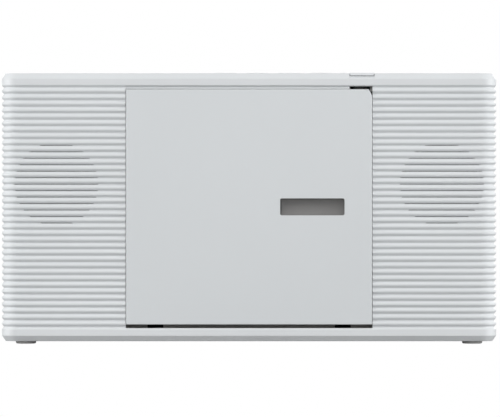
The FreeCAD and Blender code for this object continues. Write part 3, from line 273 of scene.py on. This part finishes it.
MATERIAL_OF = {
    "case": ["front_cabinet", "rear_cover", "battery_cover"],
    "door": ["door_panel"],
    "keys": ["open_key"] + [name for name in NODES if name.startswith("key_")
                            and name != "key_board"],
    "deck": ["disc_deck"],
    "dark": ["battery_bay", "mains_inlet", "headphone_jack", "tact_switches", "capacitors",
             "board_chips", "turntable", "pickup_sled"],
    "rubber": ["rubber_feet", "mech_dampers"],
    "natural": ["drive_gear"],
    "steel": ["case_screws", "mech_screws", "spindle_motor", "sled_motor", "battery_contacts",
              "battery_springs"],
    "bright": ["hinge_pins", "guide_rods", "chuck_balls", "aerial_knuckle", "aerial_tube",
               "aerial_middle", "aerial_tip"],
    "sheet": ["mech_chassis", "speaker_basket_left", "speaker_basket_right"],
    "alloy": ["heat_sink"],
    "brass": ["inlet_pins", "motor_pinion"],
    "magnet": ["speaker_magnet_left", "speaker_magnet_right"],
    "ferrite": ["ferrite_bar", "transformer_core"],
    "copper": ["aerial_winding", "transformer_coil"],
    "cone": ["speaker_cone_left", "speaker_cone_right"],
    "board": ["key_board", "main_board"],
    "lcd": ["display_module"],
    "window": ["window_lens", "pickup_lens"],
    "display": ["display_lens"],
}


# Edge rounding of the CAD nodes that stay, in millimetres, where it isn't the usual one.
USUAL_ROUND = 0.12
EDGE_ROUND = {"door_panel": 0.2, "battery_cover": 0.35, "mains_inlet": 0.35, "disc_deck": 0.3,
              "turntable": 0.25, "pickup_sled": 0.3, "display_lens": 0.2, "aerial_knuckle": 0.4,
              "window_lens": 0.15, "case_screws": 0.15, "front_cabinet": 0, "rear_cover": 0,
              "battery_springs": 0, "aerial_winding": 0, "drive_gear": 0, "motor_pinion": 0}


# Mesh helpers: shapes are drawn in millimetres --------------------------------------------

def new_object(name, build, material=None):
    """Turn a bmesh drawn in millimetres into an object in metres."""
    bmesh.ops.recalc_face_normals(build, faces=build.faces)
    bmesh.ops.scale(build, vec=(MM, MM, MM), verts=build.verts)
    mesh = bpy.data.meshes.new(name)
    build.to_mesh(mesh)
    build.free()
    piece = bpy.data.objects.new(name, mesh)
    bpy.context.scene.collection.objects.link(piece)
    if material:
        mesh.materials.append(material)
    return piece


def round_outline(corners, radius, steps=4):
    """A closed outline with each corner replaced by an arc; a radius per corner or one for all."""
    points = []
    count = len(corners)
    radii = radius if isinstance(radius, (list, tuple)) else [radius] * count
    for index in range(count):
        before, here, after = (Vector(corners[(index + turn) % count]) for turn in (-1, 0, 1))
        size = radii[index]
        if size <= 0:
            points.append(here)
            continue
        back, forth = (before - here).normalized(), (after - here).normalized()
        half_angle = back.angle(forth) / 2
        reach = size / math.tan(half_angle)
        centre = here + (back + forth).normalized() * (size / math.sin(half_angle))
        first, last = here + back * reach - centre, here + forth * reach - centre
        for step in range(steps + 1):
            points.append(centre + first.slerp(last, step / steps) * size)
    return points


def rectangle(left, low, right, high):
    """A rectangle's corners, anticlockwise from the lowest."""
    return [(left, low), (right, low), (right, high), (left, high)]


# How an outline's two numbers and a depth become X, Y and Z.
PLANES = {"front": lambda a, b, depth: (a, depth, b), "top": lambda a, b, depth: (a, b, depth),
          "side": lambda a, b, depth: (depth, a, b)}


def loft(build, rings, tube=False):
    """Join rings of equally many points into a closed skin, with flat ends or as a tube."""
    layers = [[build.verts.new(point) for point in ring] for ring in rings]
    pairs = list(zip(layers, layers[1:]))
    if tube:
        pairs.append((layers[-1], layers[0]))
    for lower, upper in pairs:
        count = len(lower)
        for index in range(count):
            following = (index + 1) % count
            build.faces.new((lower[index], lower[following], upper[following], upper[index]))
    if not tube:
        build.faces.new(layers[0])
        build.faces.new(layers[-1][::-1])


def lathe(build, profile, start, along, steps=28, tube=False):
    """Turn (radius, distance) points about a line; a tube's profile closes on itself."""
    centre, way = Vector(start), Vector(along)
    across = Vector((0, 1, 0)) if abs(way.y) < 0.5 else Vector((1, 0, 0))
    other = way.cross(across)
    rings = []
    for radius, distance in profile:
        rings.append([centre + way * distance + across * (radius * math.cos(turn))
                      + other * (radius * math.sin(turn))
                      for turn in (math.tau * step / steps for step in range(steps))])
    loft(build, rings, tube)


def disc(x, y, radius):
    """A circle's outline, from a square with its corners rounded right off."""
    return round_outline(square(x, y, radius), radius - 0.01, 6)


def square(x, y, half):
    """A square's corners, from its middle and half its side."""
    return rectangle(x - half, y - half, x + half, y + half)


def prism(build, outline, plane, start, end):
    """A straight solid on an outline, between two depths."""
    loft(build, [[PLANES[plane](a, b, depth) for a, b in outline] for depth in (start, end)])


def flared(build, corners, radius, plane, mouth, end, flare, beyond, steps=()):
    """A cutter whose mouth opens out in a quarter round, to leave a rounded edge on its cut.

    steps holds (depth, corners) pairs where the cut narrows on its way to the end."""
    inward = 1 if end > mouth else -1
    levels = [(mouth - inward * beyond, grow(corners, flare), radius + flare)]
    for turn in (math.radians(angle) for angle in (0, 22, 45, 67, 90)):
        spread = flare * (1 - math.sin(turn))
        levels.append((mouth + inward * flare * (1 - math.cos(turn)), grow(corners, spread),
                       radius + spread))
    for depth, narrower in steps:
        levels += [(depth, corners, radius), (depth, narrower, radius)]
        corners = narrower
    levels.append((end, corners, radius))
    loft(build, [[PLANES[plane](a, b, depth) for a, b in round_outline(outline, size)]
                 for depth, outline, size in levels])


def grow(corners, size):
    """A rectangle's four corners moved out by a size."""
    (left, low), (right, high) = corners[0], corners[2]
    return rectangle(left - size, low - size, right + size, high + size)


def carve(piece, build, operation="DIFFERENCE"):
    """Cut a shape out of a piece, or add it with UNION, for good."""
    cutter = new_object("Cutter", build)
    change = piece.modifiers.new("Carve", "BOOLEAN")
    change.operation = operation
    change.solver = "EXACT"
    change.object = cutter
    settle(piece)
    bpy.data.objects.remove(cutter)


MERGE = 0.001


def settle(piece):
    """Apply a piece's modifiers to its mesh and merge the points that they leave together."""
    ready = piece.evaluated_get(bpy.context.evaluated_depsgraph_get())
    mesh = bpy.data.meshes.new_from_object(ready)
    build = bmesh.new()
    build.from_mesh(mesh)
    bmesh.ops.remove_doubles(build, verts=build.verts, dist=MERGE * MM)
    bmesh.ops.dissolve_degenerate(build, edges=build.edges, dist=MERGE * MM)
    build.to_mesh(mesh)
    build.free()
    piece.modifiers.clear()
    old = piece.data
    piece.data = mesh
    bpy.data.meshes.remove(old)


def smooth(piece, angle=30):
    """Smooth shading that stays flat on flat faces and crisp at sharp edges."""
    piece.data.shade_smooth()
    piece.data.set_sharp_from_angle(angle=math.radians(angle))
    weighted = piece.modifiers.new("EvenShading", "WEIGHTED_NORMAL")
    weighted.keep_sharp = True
    weighted.mode = "FACE_AREA"


def declare(piece, body, node=None, angle=30):
    """Shade a finished piece, hang it on what it rides on and hide the node it stands for."""
    smooth(piece, angle)
    if node:
        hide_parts(node)
    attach(piece, body)


def soften(node, width, segments=2):
    """Clean up a CAD node's facets and round its sharp edges, with modifiers only."""
    weld = node.modifiers.new("Weld", "WELD")
    weld.merge_threshold = 0.002 * MM
    flat = node.modifiers.new("Dissolve", "DECIMATE")
    flat.decimate_type = "DISSOLVE"
    flat.angle_limit = math.radians(0.5)
    if width:
        bevel = node.modifiers.new("Round", "BEVEL")
        bevel.width = width * MM
        bevel.segments = segments
        bevel.limit_method = "ANGLE"
        bevel.angle_limit = math.radians(32)
        bevel.use_clamp_overlap = True
    smooth(node)


# Sizes of the pieces, in millimetres ------------------------------------------------------

HALF_WIDTH = CASE_HIGH.x / MM
BOTTOM, TOP = CASE_LOW.z / MM, CASE_HIGH.z / MM
FACE, SEAM = CASE_LOW.y / MM, CASE_HIGH.y / MM
WALL, FRONT_WALL = 2.4, 2.6
INNER_TOP = TOP - WALL
CORNER = 9.0
FACET_HIGH, FACET_DEEP, RIM = 3.0, 2.0, 0.7
SEAM_BEVEL = 0.3

# Ribs: the grooves between them are one wave of a cosine across.
GROOVE_COUNT, GROOVE_FIRST, GROOVE_SPAN = 38, 9.3, 130.4
GROOVE_STEP = GROOVE_SPAN / (GROOVE_COUNT - 1)
GROOVE_DEPTH, GROOVE_HALF, GROOVE_POINTS = 1.0, 1.45, 5
GRILLE_RADIUS, SLOT_HEIGHT, SLOT_RISE = 23.0, 0.32, 0.35

# Door opening, with a shallower lip above the door.
DOOR_GAP, DOOR_GAP_LOW, DOOR_GAP_HIGH = 0.25, 2.0, 1.7
LIP_DEPTH, OPENING_DEPTH = 1.4, 8.0

# Keys and their flanges, and the sill that the door key's hollow front end drops over.
KEYS = [name for name in NODES if name.startswith("key_") and name != "key_board"]
FLANGE, FLANGE_NARROW, FLANGE_THICK, KEY_GAP = 0.8, 0.3, 1.2, 0.3
KEY_CORNER, STUB_RADIUS = 1.6, 1.4
CROWN_DROP, CROWN_INSETS = 0.6, (0, 0.06, 0.2, 0.42, 0.8, 1.3, 1.9, 2.4)
PRINT_PROUD, PRINT_DEEP = 0.03, 0.2
SILL_FRONT, SILL_BACK, SILL_RISE, SILL_CLEAR = 1.9, 3.2, 0.9, 0.3
HOLE_DEEP = 5.0

# Rear
CHANNEL_END, CHANNEL_FLOOR, CHANNEL_LOW = 119.0, 29.0, 12.5
POST_RADIUS, POST_FLOOR, HEAD_HOLE, SHANK_HOLE = 4.4, 24.0, 3.2, 1.7
POSTS = [(x, z) for x in (-124, 124) for z in (12, 126)]
SPEAKER_X, VENT_HALF, VENT_LOW, VENT_PITCH, VENT_HEIGHT, VENT_COUNT = 105, 16, 76, 5, 2, 9
PIVOT_RADIUS, STUD_RADIUS, KNUCKLE_RADIUS = 0.95, 2.05, 3.3

# Aerial and feet
OUTER_TUBE, MIDDLE_TUBE, ROD_RADIUS, TIP_RADIUS = (2.5, 2.05), (2.0, 1.5), 1.45, 2.4
NECK = 0.16
FOOT_RADIUS = 5.5


def node_box(name):
    """A CAD node's lowest and highest corners in millimetres."""
    return tuple(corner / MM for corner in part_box(name))


def node_rectangle(name, gap, axes="xy", less=0):
    """A CAD node's outline on two axes, less what juts out sideways, grown by a gap."""
    low, high = node_box(name)
    first, second = axes
    return grow(rectangle(getattr(low, first) + less, getattr(low, second),
                          getattr(high, first) - less, getattr(high, second)), gap)


def node_middle(name):
    """The middle of a CAD node's box in millimetres."""
    low, high = node_box(name)
    return (low + high) / 2


# Case ------------------------------------------------------------------------------------

def groove_levels():
    """The height of each groove's middle."""
    return [GROOVE_FIRST + GROOVE_STEP * row for row in range(GROOVE_COUNT)]


def case_profile(ribbed):
    """Depth behind the face and height, from the bottom rim to the top rim."""
    deep = FACET_DEEP + RIM
    corners = [(deep, BOTTOM), (FACET_DEEP, BOTTOM), (0, BOTTOM + FACET_HIGH),
               (0, TOP - FACET_HIGH), (FACET_DEEP, TOP), (deep, TOP)]
    outline = [tuple(point) for point in round_outline(corners, [0, 0.5, 0.6, 0.6, 0.5, 0])]
    half = len(outline) // 2
    grooves = []
    for middle in groove_levels() if ribbed else []:
        for step in range(-GROOVE_POINTS, GROOVE_POINTS + 1):
            part = step / GROOVE_POINTS
            depth = GROOVE_DEPTH * (0.5 + 0.5 * math.cos(math.pi * part))
            grooves.append((depth, middle + GROOVE_HALF * part))
    return outline[:half] + grooves + outline[half:]


def case_stations(face, seam, steps=12):
    """Points round the plan with the way outward at each, from seam to seam."""
    way = 1 if face > seam else -1
    quarter = [(math.cos(turn), way * math.sin(turn))
               for turn in (math.pi / 2 * step / steps for step in range(steps + 1))]
    right = [(HALF_WIDTH - SEAM_BEVEL, seam, 1.0, 0.0),
             (HALF_WIDTH, seam + way * SEAM_BEVEL, 1.0, 0.0)]
    right += [(HALF_WIDTH - CORNER + CORNER * x, face - way * CORNER + CORNER * y, x, y)
              for x, y in quarter]
    return right + [(-x, y, -out_x, out_y) for x, y, out_x, out_y in reversed(right)]


def case_block(name, face, seam, ribbed, material):
    """One half of the case as a solid: a profile swept round the plan, bevelled at the seam."""
    build = bmesh.new()
    profile = case_profile(ribbed)
    rows = []
    for x, y, out_x, out_y in case_stations(face, seam):
        inset = SEAM_BEVEL if y == seam else 0
        rows.append([build.verts.new((x - out_x * depth, y - out_y * depth,
                                      min(max(z, BOTTOM + inset), TOP - inset)))
                     for depth, z in profile])
    for first, second in zip(rows, rows[1:]):
        for index in range(len(profile) - 1):
            build.faces.new((first[index], second[index], second[index + 1], first[index + 1]))
    for end in (0, -1):
        build.faces.new([row[end] for row in rows[1:-1]])
        build.faces.new([rows[index][end] for index in (0, 1, -2, -1)])
    build.faces.new(rows[0] + rows[-1][::-1])
    return new_object(name, build, material)


def hollow(piece, seam, inner_y):
    """The space inside one half, open at the seam."""
    way = 1 if inner_y > seam else -1
    half, open_y = HALF_WIDTH - WALL, seam - way * 5
    plan = round_outline([(-half, open_y), (half, open_y), (half, inner_y), (-half, inner_y)],
                         [0, 0, CORNER - WALL, CORNER - WALL], 8)
    build = bmesh.new()
    prism(build, plan, "top", BOTTOM + WALL, INNER_TOP)
    carve(piece, build)


# Front -----------------------------------------------------------------------------------

def cut_door_opening(build):
    (left, low), (right, high) = node_rectangle("door_panel", 0, "xz")[::2]
    low -= DOOR_GAP_LOW
    opening = rectangle(left - DOOR_GAP, low, right + DOOR_GAP, high + DOOR_GAP_HIGH)
    behind_lip = rectangle(left - DOOR_GAP + 0.02, low + 0.02, right + DOOR_GAP - 0.02,
                           high + DOOR_GAP)
    flared(build, opening, 0.3, "front", FACE, FACE + OPENING_DEPTH, 0.1, 1,
           [(FACE + LIP_DEPTH, behind_lip)])


def cut_sound_slots(build):
    """A slot in every groove that crosses one of the two round grilles."""
    centre = node_middle("speaker_cone_right")
    for side in (-1, 1):
        for level in groove_levels():
            rise = level - centre.z
            if abs(rise) < GRILLE_RADIUS - 1:
                reach = math.sqrt(GRILLE_RADIUS ** 2 - rise ** 2)
                high = level + SLOT_RISE
                slot = rectangle(side * centre.x - reach, high - SLOT_HEIGHT,
                                 side * centre.x + reach, high)
                prism(build, round_outline(slot, SLOT_HEIGHT / 2 - 0.02, 3), "front", FACE - 1,
                      FACE + FRONT_WALL + 1)


def cut_top_openings(build):
    for name in KEYS:
        flared(build, grow(key_outline(name), KEY_GAP), KEY_CORNER + 0.1, "top", TOP,
               TOP - HOLE_DEEP, 0.25, 2)
    flared(build, node_rectangle("display_lens", 0.2), 0.4, "top", TOP, TOP - HOLE_DEEP, 0.2, 2)


def cut_key_notch(build):
    """The door key's notch in the top edge, with its sill, and the slot for its latch."""
    (left, _), (right, back) = node_rectangle("open_key", KEY_GAP)[::2]
    floor, sill = INNER_TOP - 0.1, INNER_TOP + SILL_RISE
    side = [(FACE - 1, floor), (FACE + SILL_FRONT, floor), (FACE + SILL_FRONT, sill),
            (FACE + SILL_BACK, sill), (FACE + SILL_BACK, floor), (back, floor),
            (back, TOP + 2), (FACE - 1, TOP + 2)]
    prism(build, side, "side", left, right)
    door_right, door_high = node_rectangle("door_panel", 0, "xz")[2]
    slot = rectangle(left, door_high + 0.1, door_right + DOOR_GAP - 0.03,
                     door_high + DOOR_GAP_HIGH - 0.05)
    prism(build, round_outline(slot, 0.2, 3), "front", FACE + 0.4, FACE + OPENING_DEPTH)


def front_cabinet(material):
    """The front half of the case: ribs, door opening, sound slots and openings in the top."""
    piece = case_block("CabinetShell", FACE, SEAM, True, material)
    hollow(piece, SEAM, FACE + FRONT_WALL)
    build = bmesh.new()
    cut_door_opening(build)
    cut_sound_slots(build)
    cut_top_openings(build)
    carve(piece, build)
    build = bmesh.new()
    cut_key_notch(build)
    carve(piece, build)
    declare(piece, "case", "front_cabinet")


# Rear ------------------------------------------------------------------------------------

def add_rear_walls(build, seam, inner):
    """The aerial channel's walls and the posts for the case screws."""
    walls = rectangle(-HALF_WIDTH + WALL + 0.5, TOP - CHANNEL_LOW - WALL, CHANNEL_END + WALL,
                      TOP - 1.5)
    prism(build, walls, "front", CHANNEL_FLOOR - WALL, inner + 0.05)
    for x, z in POSTS:
        prism(build, disc(x, z, POST_RADIUS), "front", seam, inner + 0.5)


def cut_rear_openings(build, rear, inner):
    """The aerial channel, battery opening, mains inlet, vents and screw holes."""
    through = inner - 1
    channel = rectangle(-HALF_WIDTH - 4, TOP - CHANNEL_LOW, CHANNEL_END, TOP + 6)
    flared(build, channel, 0.8, "front", rear, CHANNEL_FLOOR, 0.3, 2)
    battery = node_rectangle("battery_cover", 0.4, "xz", 0.6)
    flared(build, battery, 0.6, "front", rear, through, 0.25, 2)
    flared(build, node_rectangle("mains_inlet", 0.2, "xz"), 0.5, "front", rear, through, 0.5, 2)
    for side in (-1, 1):
        for row in range(VENT_COUNT):
            low = VENT_LOW + VENT_PITCH * row
            vent = rectangle(side * SPEAKER_X - VENT_HALF, low, side * SPEAKER_X + VENT_HALF,
                             low + VENT_HEIGHT)
            flared(build, vent, VENT_HEIGHT / 2 - 0.05, "front", rear, through, 0.3, 2)
    for x, z in POSTS:
        flared(build, square(x, z, HEAD_HOLE), HEAD_HOLE - 0.02, "front", rear, POST_FLOOR, 0.4, 2)


def cut_rear_bores(build, seam):
    """Holes for the screws' shanks, headphone jack, battery cover's pivots and aerial's stud."""
    for x, z in POSTS:
        prism(build, disc(x, z, SHANK_HOLE), "front", seam - 1, POST_FLOOR + 1)
    jack = node_middle("headphone_jack")
    flared(build, square(jack.y, jack.z, HEAD_HOLE), HEAD_HOLE - 0.02, "side", HALF_WIDTH,
           HALF_WIDTH - WALL - 1, 0.4, 2)
    cover_low, cover_high = node_box("battery_cover")
    prism(build, disc(cover_high.y - 1.05, cover_low.z + 1.1, PIVOT_RADIUS), "side",
          cover_low.x - 0.2, cover_high.x + 0.2)
    stud_x = node_box("aerial_knuckle")[1].x - KNUCKLE_RADIUS
    prism(build, disc(stud_x, node_middle("aerial_knuckle").z, STUD_RADIUS), "front",
          CHANNEL_FLOOR - 4, CHANNEL_FLOOR + 1)


def rear_cover(material):
    """The back half of the case, with its posts, vents, battery opening and aerial channel."""
    seam, rear = (corner.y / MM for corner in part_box("rear_cover"))
    inner = rear - WALL
    piece = case_block("RearShell", rear, seam, False, material)
    hollow(piece, seam, inner)
    build = bmesh.new()
    add_rear_walls(build, seam, inner)
    carve(piece, build, "UNION")
    build = bmesh.new()
    cut_rear_openings(build, rear, inner)
    carve(piece, build)
    build = bmesh.new()
    cut_rear_bores(build, seam)
    carve(piece, build)
    declare(piece, "case", "rear_cover")


# Keys ------------------------------------------------------------------------------------

def open_key(materials):
    """The door key: its front end follows the bevel, with a hollow above the sill."""
    (left, front), (right, back) = node_rectangle("open_key", 0)[::2]
    low, high = (corner.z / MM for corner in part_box("open_key"))
    under, ceiling, plate = TOP - 1.3, TOP - 0.3, INNER_TOP - 0.4
    hollow_front, hollow_back = FACE + SILL_FRONT - SILL_CLEAR, FACE + SILL_BACK + SILL_CLEAR
    outline = [(front, under), (FACE + FACET_DEEP + 0.1, high), (back, high), (back, plate),
               (back - 9, plate), (back - 9, under), (hollow_back, under),
               (hollow_back, ceiling), (hollow_front, ceiling), (hollow_front, under)]
    build = bmesh.new()
    prism(build, round_outline(outline, [0.15, 0.4, 0.4, 0, 0, 0, 0, 0, 0, 0.1]), "side",
          left, right)
    cap = new_object("OpenKeyCap", build, materials["keys"])
    hook_front, hook_back = FACE + 4.6, FACE + 6
    hook = [(hook_front, TOP - 1), (hook_front, low + 2.2), (hook_front - 0.8, low + 1.6),
            (hook_front - 0.8, low + 0.6), (hook_front + 0.4, low), (hook_back, low + 0.6),
            (hook_back, TOP - 1)]
    build = bmesh.new()
    prism(build, round_outline(hook, 0.2, 2), "side", left + 2.2, left + 8.8)
    latch = new_object("OpenKeyLatch", build, materials["dark"])
    declare(cap, "door_key", "open_key")
    declare(latch, "door_key", "open_key")


def key_outline(name):
    """A key's cap seen from above: its node less the flange under the case."""
    side = FLANGE_NARROW if name == "key_repeat" else FLANGE
    (left, front), (right, back) = node_rectangle(name, 0)[::2]
    return rectangle(left + side, front + FLANGE, right - side, back - FLANGE)


def key_cap(name, materials):
    """One key: a pillow-topped cap, the flange that holds it in, a stub and a printed symbol."""
    outline = key_outline(name)
    low, high = node_box(name)
    under, crown = INNER_TOP - 0.2, high.z - PRINT_PROUD
    widest = CROWN_INSETS[-1]
    rings = [(0, under - 0.6)]
    for inset in CROWN_INSETS:
        rings.append((inset, crown - CROWN_DROP * (1 - inset / widest) ** 2.6))
    build = bmesh.new()
    loft(build, [[(x, y, z) for x, y in round_outline(grow(outline, -inset),
                                                      KEY_CORNER - inset * 0.55, 5)]
                 for inset, z in rings])
    flange = node_rectangle(name, 0)
    prism(build, round_outline(flange, 1.2), "top", under - FLANGE_THICK, under)
    middle = node_middle(name)
    prism(build, disc(middle.x, middle.y, STUB_RADIUS), "top", low.z, under - 1)
    cap = new_object("Cap_" + name, build, materials["keys"])
    declare(cap, name + "_body", name)
    build = bmesh.new()
    for shape in key_marks(name):
        prism(build, [(middle.x + x, middle.y + y) for x, y in shape], "top",
              crown - PRINT_DEEP, high.z)
    mark = new_object("Print_" + name, build, materials["print"])
    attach(mark, name + "_body")


def arc_band(radius, thick, start, end, steps=14):
    """A curved band from one angle to another, in degrees, as one outline."""
    turns = [math.radians(start + (end - start) * step / steps) for step in range(steps + 1)]
    outer = [(radius * math.cos(turn), radius * math.sin(turn)) for turn in turns]
    inner = radius - thick
    return outer + [(inner * math.cos(turn), inner * math.sin(turn)) for turn in reversed(turns)]


def triangle(x, way):
    """A triangle with its back at x, pointing right (1) or left (-1)."""
    return [(x, -1.5), (x + way * 2.4, 0), (x, 1.5)]


def bar(left, right):
    return rectangle(left, -1.5, right, 1.5)


def key_marks(name):
    """Plain symbols, as flat outlines about a key's middle."""
    dash = rectangle(-1.5, -0.2, 1.5, 0.2)
    return {
        "key_stop": [square(0, 0, 1.3)],
        "key_play": [triangle(-2.6, 1), bar(0.7, 1.3), bar(2, 2.6)],
        "key_skip_back": [bar(-2.9, -2.4), triangle(0.1, -1), triangle(2.6, -1)],
        "key_skip_forward": [bar(2.4, 2.9), triangle(-0.1, 1), triangle(-2.6, 1)],
        "key_power": [arc_band(1.6, 0.35, 125, 415), rectangle(-0.2, -0.3, 0.2, 1.5)],
        "key_source": [arc_band(0.75, 0.7, 0, 359)],
        "key_volume_down": [dash],
        "key_volume_up": [dash, rectangle(-0.2, 0.2, 0.2, 1.5), rectangle(-0.2, -1.5, 0.2, -0.2)],
        "key_repeat": [arc_band(1.1, 0.3, 60, 350)],
    }[name]


# Aerial and feet -------------------------------------------------------------------------

def aerial_piece(name, node, body, profile, material, tube):
    """Turn a profile of (radius, distance) about the line of a node that lies along -X."""
    middle, right = node_middle(node), node_box(node)[1].x
    build = bmesh.new()
    lathe(build, profile, (right, middle.y, middle.z), (-1, 0, 0), 32, tube)
    piece = new_object(name, build, material)
    declare(piece, body, node, 40)


def node_length(name):
    low, high = node_box(name)
    return high.x - low.x


def aerial_tube(name, node, body, radii, material):
    """A drawn tube, necked in just before its open end."""
    outer, inner = radii
    neck, length = outer - NECK, node_length(node)
    profile = [(inner, 0), (outer, 0), (outer, length - 3.4), (neck, length - 3),
               (neck, length - 2.2), (outer, length - 1.8), (outer, length - 0.5),
               (outer - 0.25, length), (inner, length)]
    aerial_piece(name, node, body, profile, material, True)


def aerial_tip(name, node, body, material):
    """The last rod with its turned, grooved tip."""
    length, cap, groove = node_length(node), TIP_RADIUS, TIP_RADIUS - 0.3
    profile = [(ROD_RADIUS, 0), (ROD_RADIUS, length - 4), (cap - 0.4, length - 4),
               (cap, length - 3.6), (cap, length - 2.9), (groove, length - 2.6),
               (groove, length - 2.2), (cap, length - 1.9), (cap, length - 0.9),
               (cap - 0.3, length - 0.3), (cap - 0.9, length)]
    aerial_piece(name, node, body, profile, material, False)


def aerial(material):
    """Three sections that slide into each other, the last with a turned tip."""
    aerial_tube("AerialOuterTube", "aerial_tube", "aerial_base", OUTER_TUBE, material)
    aerial_tube("AerialMiddleTube", "aerial_middle", "aerial_second", MIDDLE_TUBE, material)
    aerial_tip("AerialTipRod", "aerial_tip", "aerial_third", material)


def feet(material):
    """Four rubber feet, each dished underneath."""
    high = node_box("rubber_feet")[1]
    radius = FOOT_RADIUS
    profile = [(radius - 2.2, 0.35), (radius - 1.7, 0), (radius - 0.8, 0), (radius - 0.3, 0.15),
               (radius, 0.5), (radius, high.z)]
    for side, across in (("Left", -1), ("Right", 1)):
        for end, deep in (("Front", -1), ("Rear", 1)):
            centre = (across * (high.x - radius), deep * (high.y - radius * 0.996), 0)
            build = bmesh.new()
            lathe(build, profile, centre, (0, 0, 1), 36)
            piece = new_object("Foot" + side + end, build, material)
            declare(piece, "case", "rubber_feet")


def paint_nodes(materials):
    for key, names in MATERIAL_OF.items():
        for name in names:
            node = NODES[name]
            node.data.materials.clear()
            node.data.materials.append(materials[key])


# Stage -----------------------------------------------------------------------------------

FLOOR_HALF = 6


def mix_by_camera(nodes, links, others, camera, surface):
    """One shader for what the camera sees and another for the light that reaches the object."""
    path = nodes.new("ShaderNodeLightPath")
    mix = nodes.new("ShaderNodeMixShader")
    links.new(path.outputs["Is Camera Ray"], mix.inputs["Fac"])
    links.new(others, mix.inputs[1])
    links.new(camera, mix.inputs[2])
    links.new(mix.outputs["Shader"], surface)


def add_floor():
    """A white floor to the camera that throws only a mid grey on the object."""
    mesh = bpy.data.meshes.new("Floor")
    build = bmesh.new()
    bmesh.ops.create_grid(build, x_segments=4, y_segments=4, size=FLOOR_HALF)
    build.to_mesh(mesh)
    build.free()
    floor = bpy.data.objects.new("Floor", mesh)
    bpy.context.scene.collection.objects.link(floor)
    shader = Shader("FloorPaper")
    tone = shader.spread(shader.noise(3, 3), 0.3, 0.7, 0, 1)
    shader.colour(shader.blend(tone, (0.25, 0.25, 0.25), (0.23, 0.23, 0.23)))
    shader.set(Roughness=0.8)
    paper_white = shader.nodes.new("ShaderNodeEmission")
    surface = shader.nodes["Material Output"].inputs["Surface"]
    mix_by_camera(shader.nodes, shader.links, shader.surface.outputs["BSDF"],
                  paper_white.outputs["Emission"], surface)
    floor.data.materials.append(shader.material)


def add_area(name, place, size, power):
    """A rectangular soft light aimed at the middle of the case."""
    light = bpy.data.lights.new(name, "AREA")
    light.shape = "RECTANGLE"
    light.size, light.size_y = size
    light.energy = power
    lamp = bpy.data.objects.new(name, light)
    bpy.context.scene.collection.objects.link(lamp)
    lamp.location = place
    lamp.rotation_euler = (MIDDLE - Vector(place)).to_track_quat("-Z", "Y").to_euler()


def add_lights():
    """An even white room, a large light in front, one behind and a tall strip at each side."""
    world = bpy.data.worlds.new("Studio")
    bpy.context.scene.world = world
    world.use_nodes = True
    nodes, links = world.node_tree.nodes, world.node_tree.links
    background = nodes["Background"]
    background.inputs["Color"].default_value = (1, 1, 1, 1)
    background.inputs["Strength"].default_value = 0.52
    seen = nodes.new("ShaderNodeBackground")
    seen.inputs["Color"].default_value = (1, 1, 1, 1)
    seen.inputs["Strength"].default_value = 1.0
    mix_by_camera(nodes, links, background.outputs["Background"], seen.outputs["Background"],
                  nodes["World Output"].inputs["Surface"])
    add_area("Key", (0, -2.6, 0.95), (1.6, 0.9), 26)
    add_area("Back", (0.6, 2.2, 0.7), (1.6, 0.9), 15)
    add_area("LeftStrip", (-1.5, -0.35, 0.3), (0.5, 1.2), 20)
    add_area("RightStrip", (1.5, -0.35, 0.3), (0.5, 1.2), 20)


CAMERA_DISTANCE, SENSOR = 2.3, 36
MARGIN = 1.008
AIM_RIGHT, AIM_DOWN = 0.5 * MM, 0.7 * MM


def add_camera():
    """Square on to the front, at half its height, far enough to look almost flat."""
    frame_width = (CASE_HIGH.x - CASE_LOW.x) * MARGIN
    data = bpy.data.cameras.new("Camera")
    camera = bpy.data.objects.new("Camera", data)
    bpy.context.scene.collection.objects.link(camera)
    data.sensor_width = SENSOR
    data.lens = SENSOR * CAMERA_DISTANCE / frame_width
    data.clip_start = 0.05
    camera.location = (AIM_RIGHT, CASE_LOW.y - CAMERA_DISTANCE, MIDDLE.z - AIM_DOWN)
    camera.rotation_euler = (math.pi / 2, 0, 0)
    bpy.context.scene.camera = camera


bpy.context.scene.view_settings.view_transform = "Standard"
add_camera()
materials = make_materials()
paint_nodes(materials)
for name, node in NODES.items():
    soften(node, EDGE_ROUND.get(name, USUAL_ROUND))
front_cabinet(materials["case"])
rear_cover(materials["case"])
open_key(materials)
for name in KEYS:
    key_cap(name, materials)
aerial(materials["bright"])
feet(materials["rubber"])
add_floor()
add_lights()
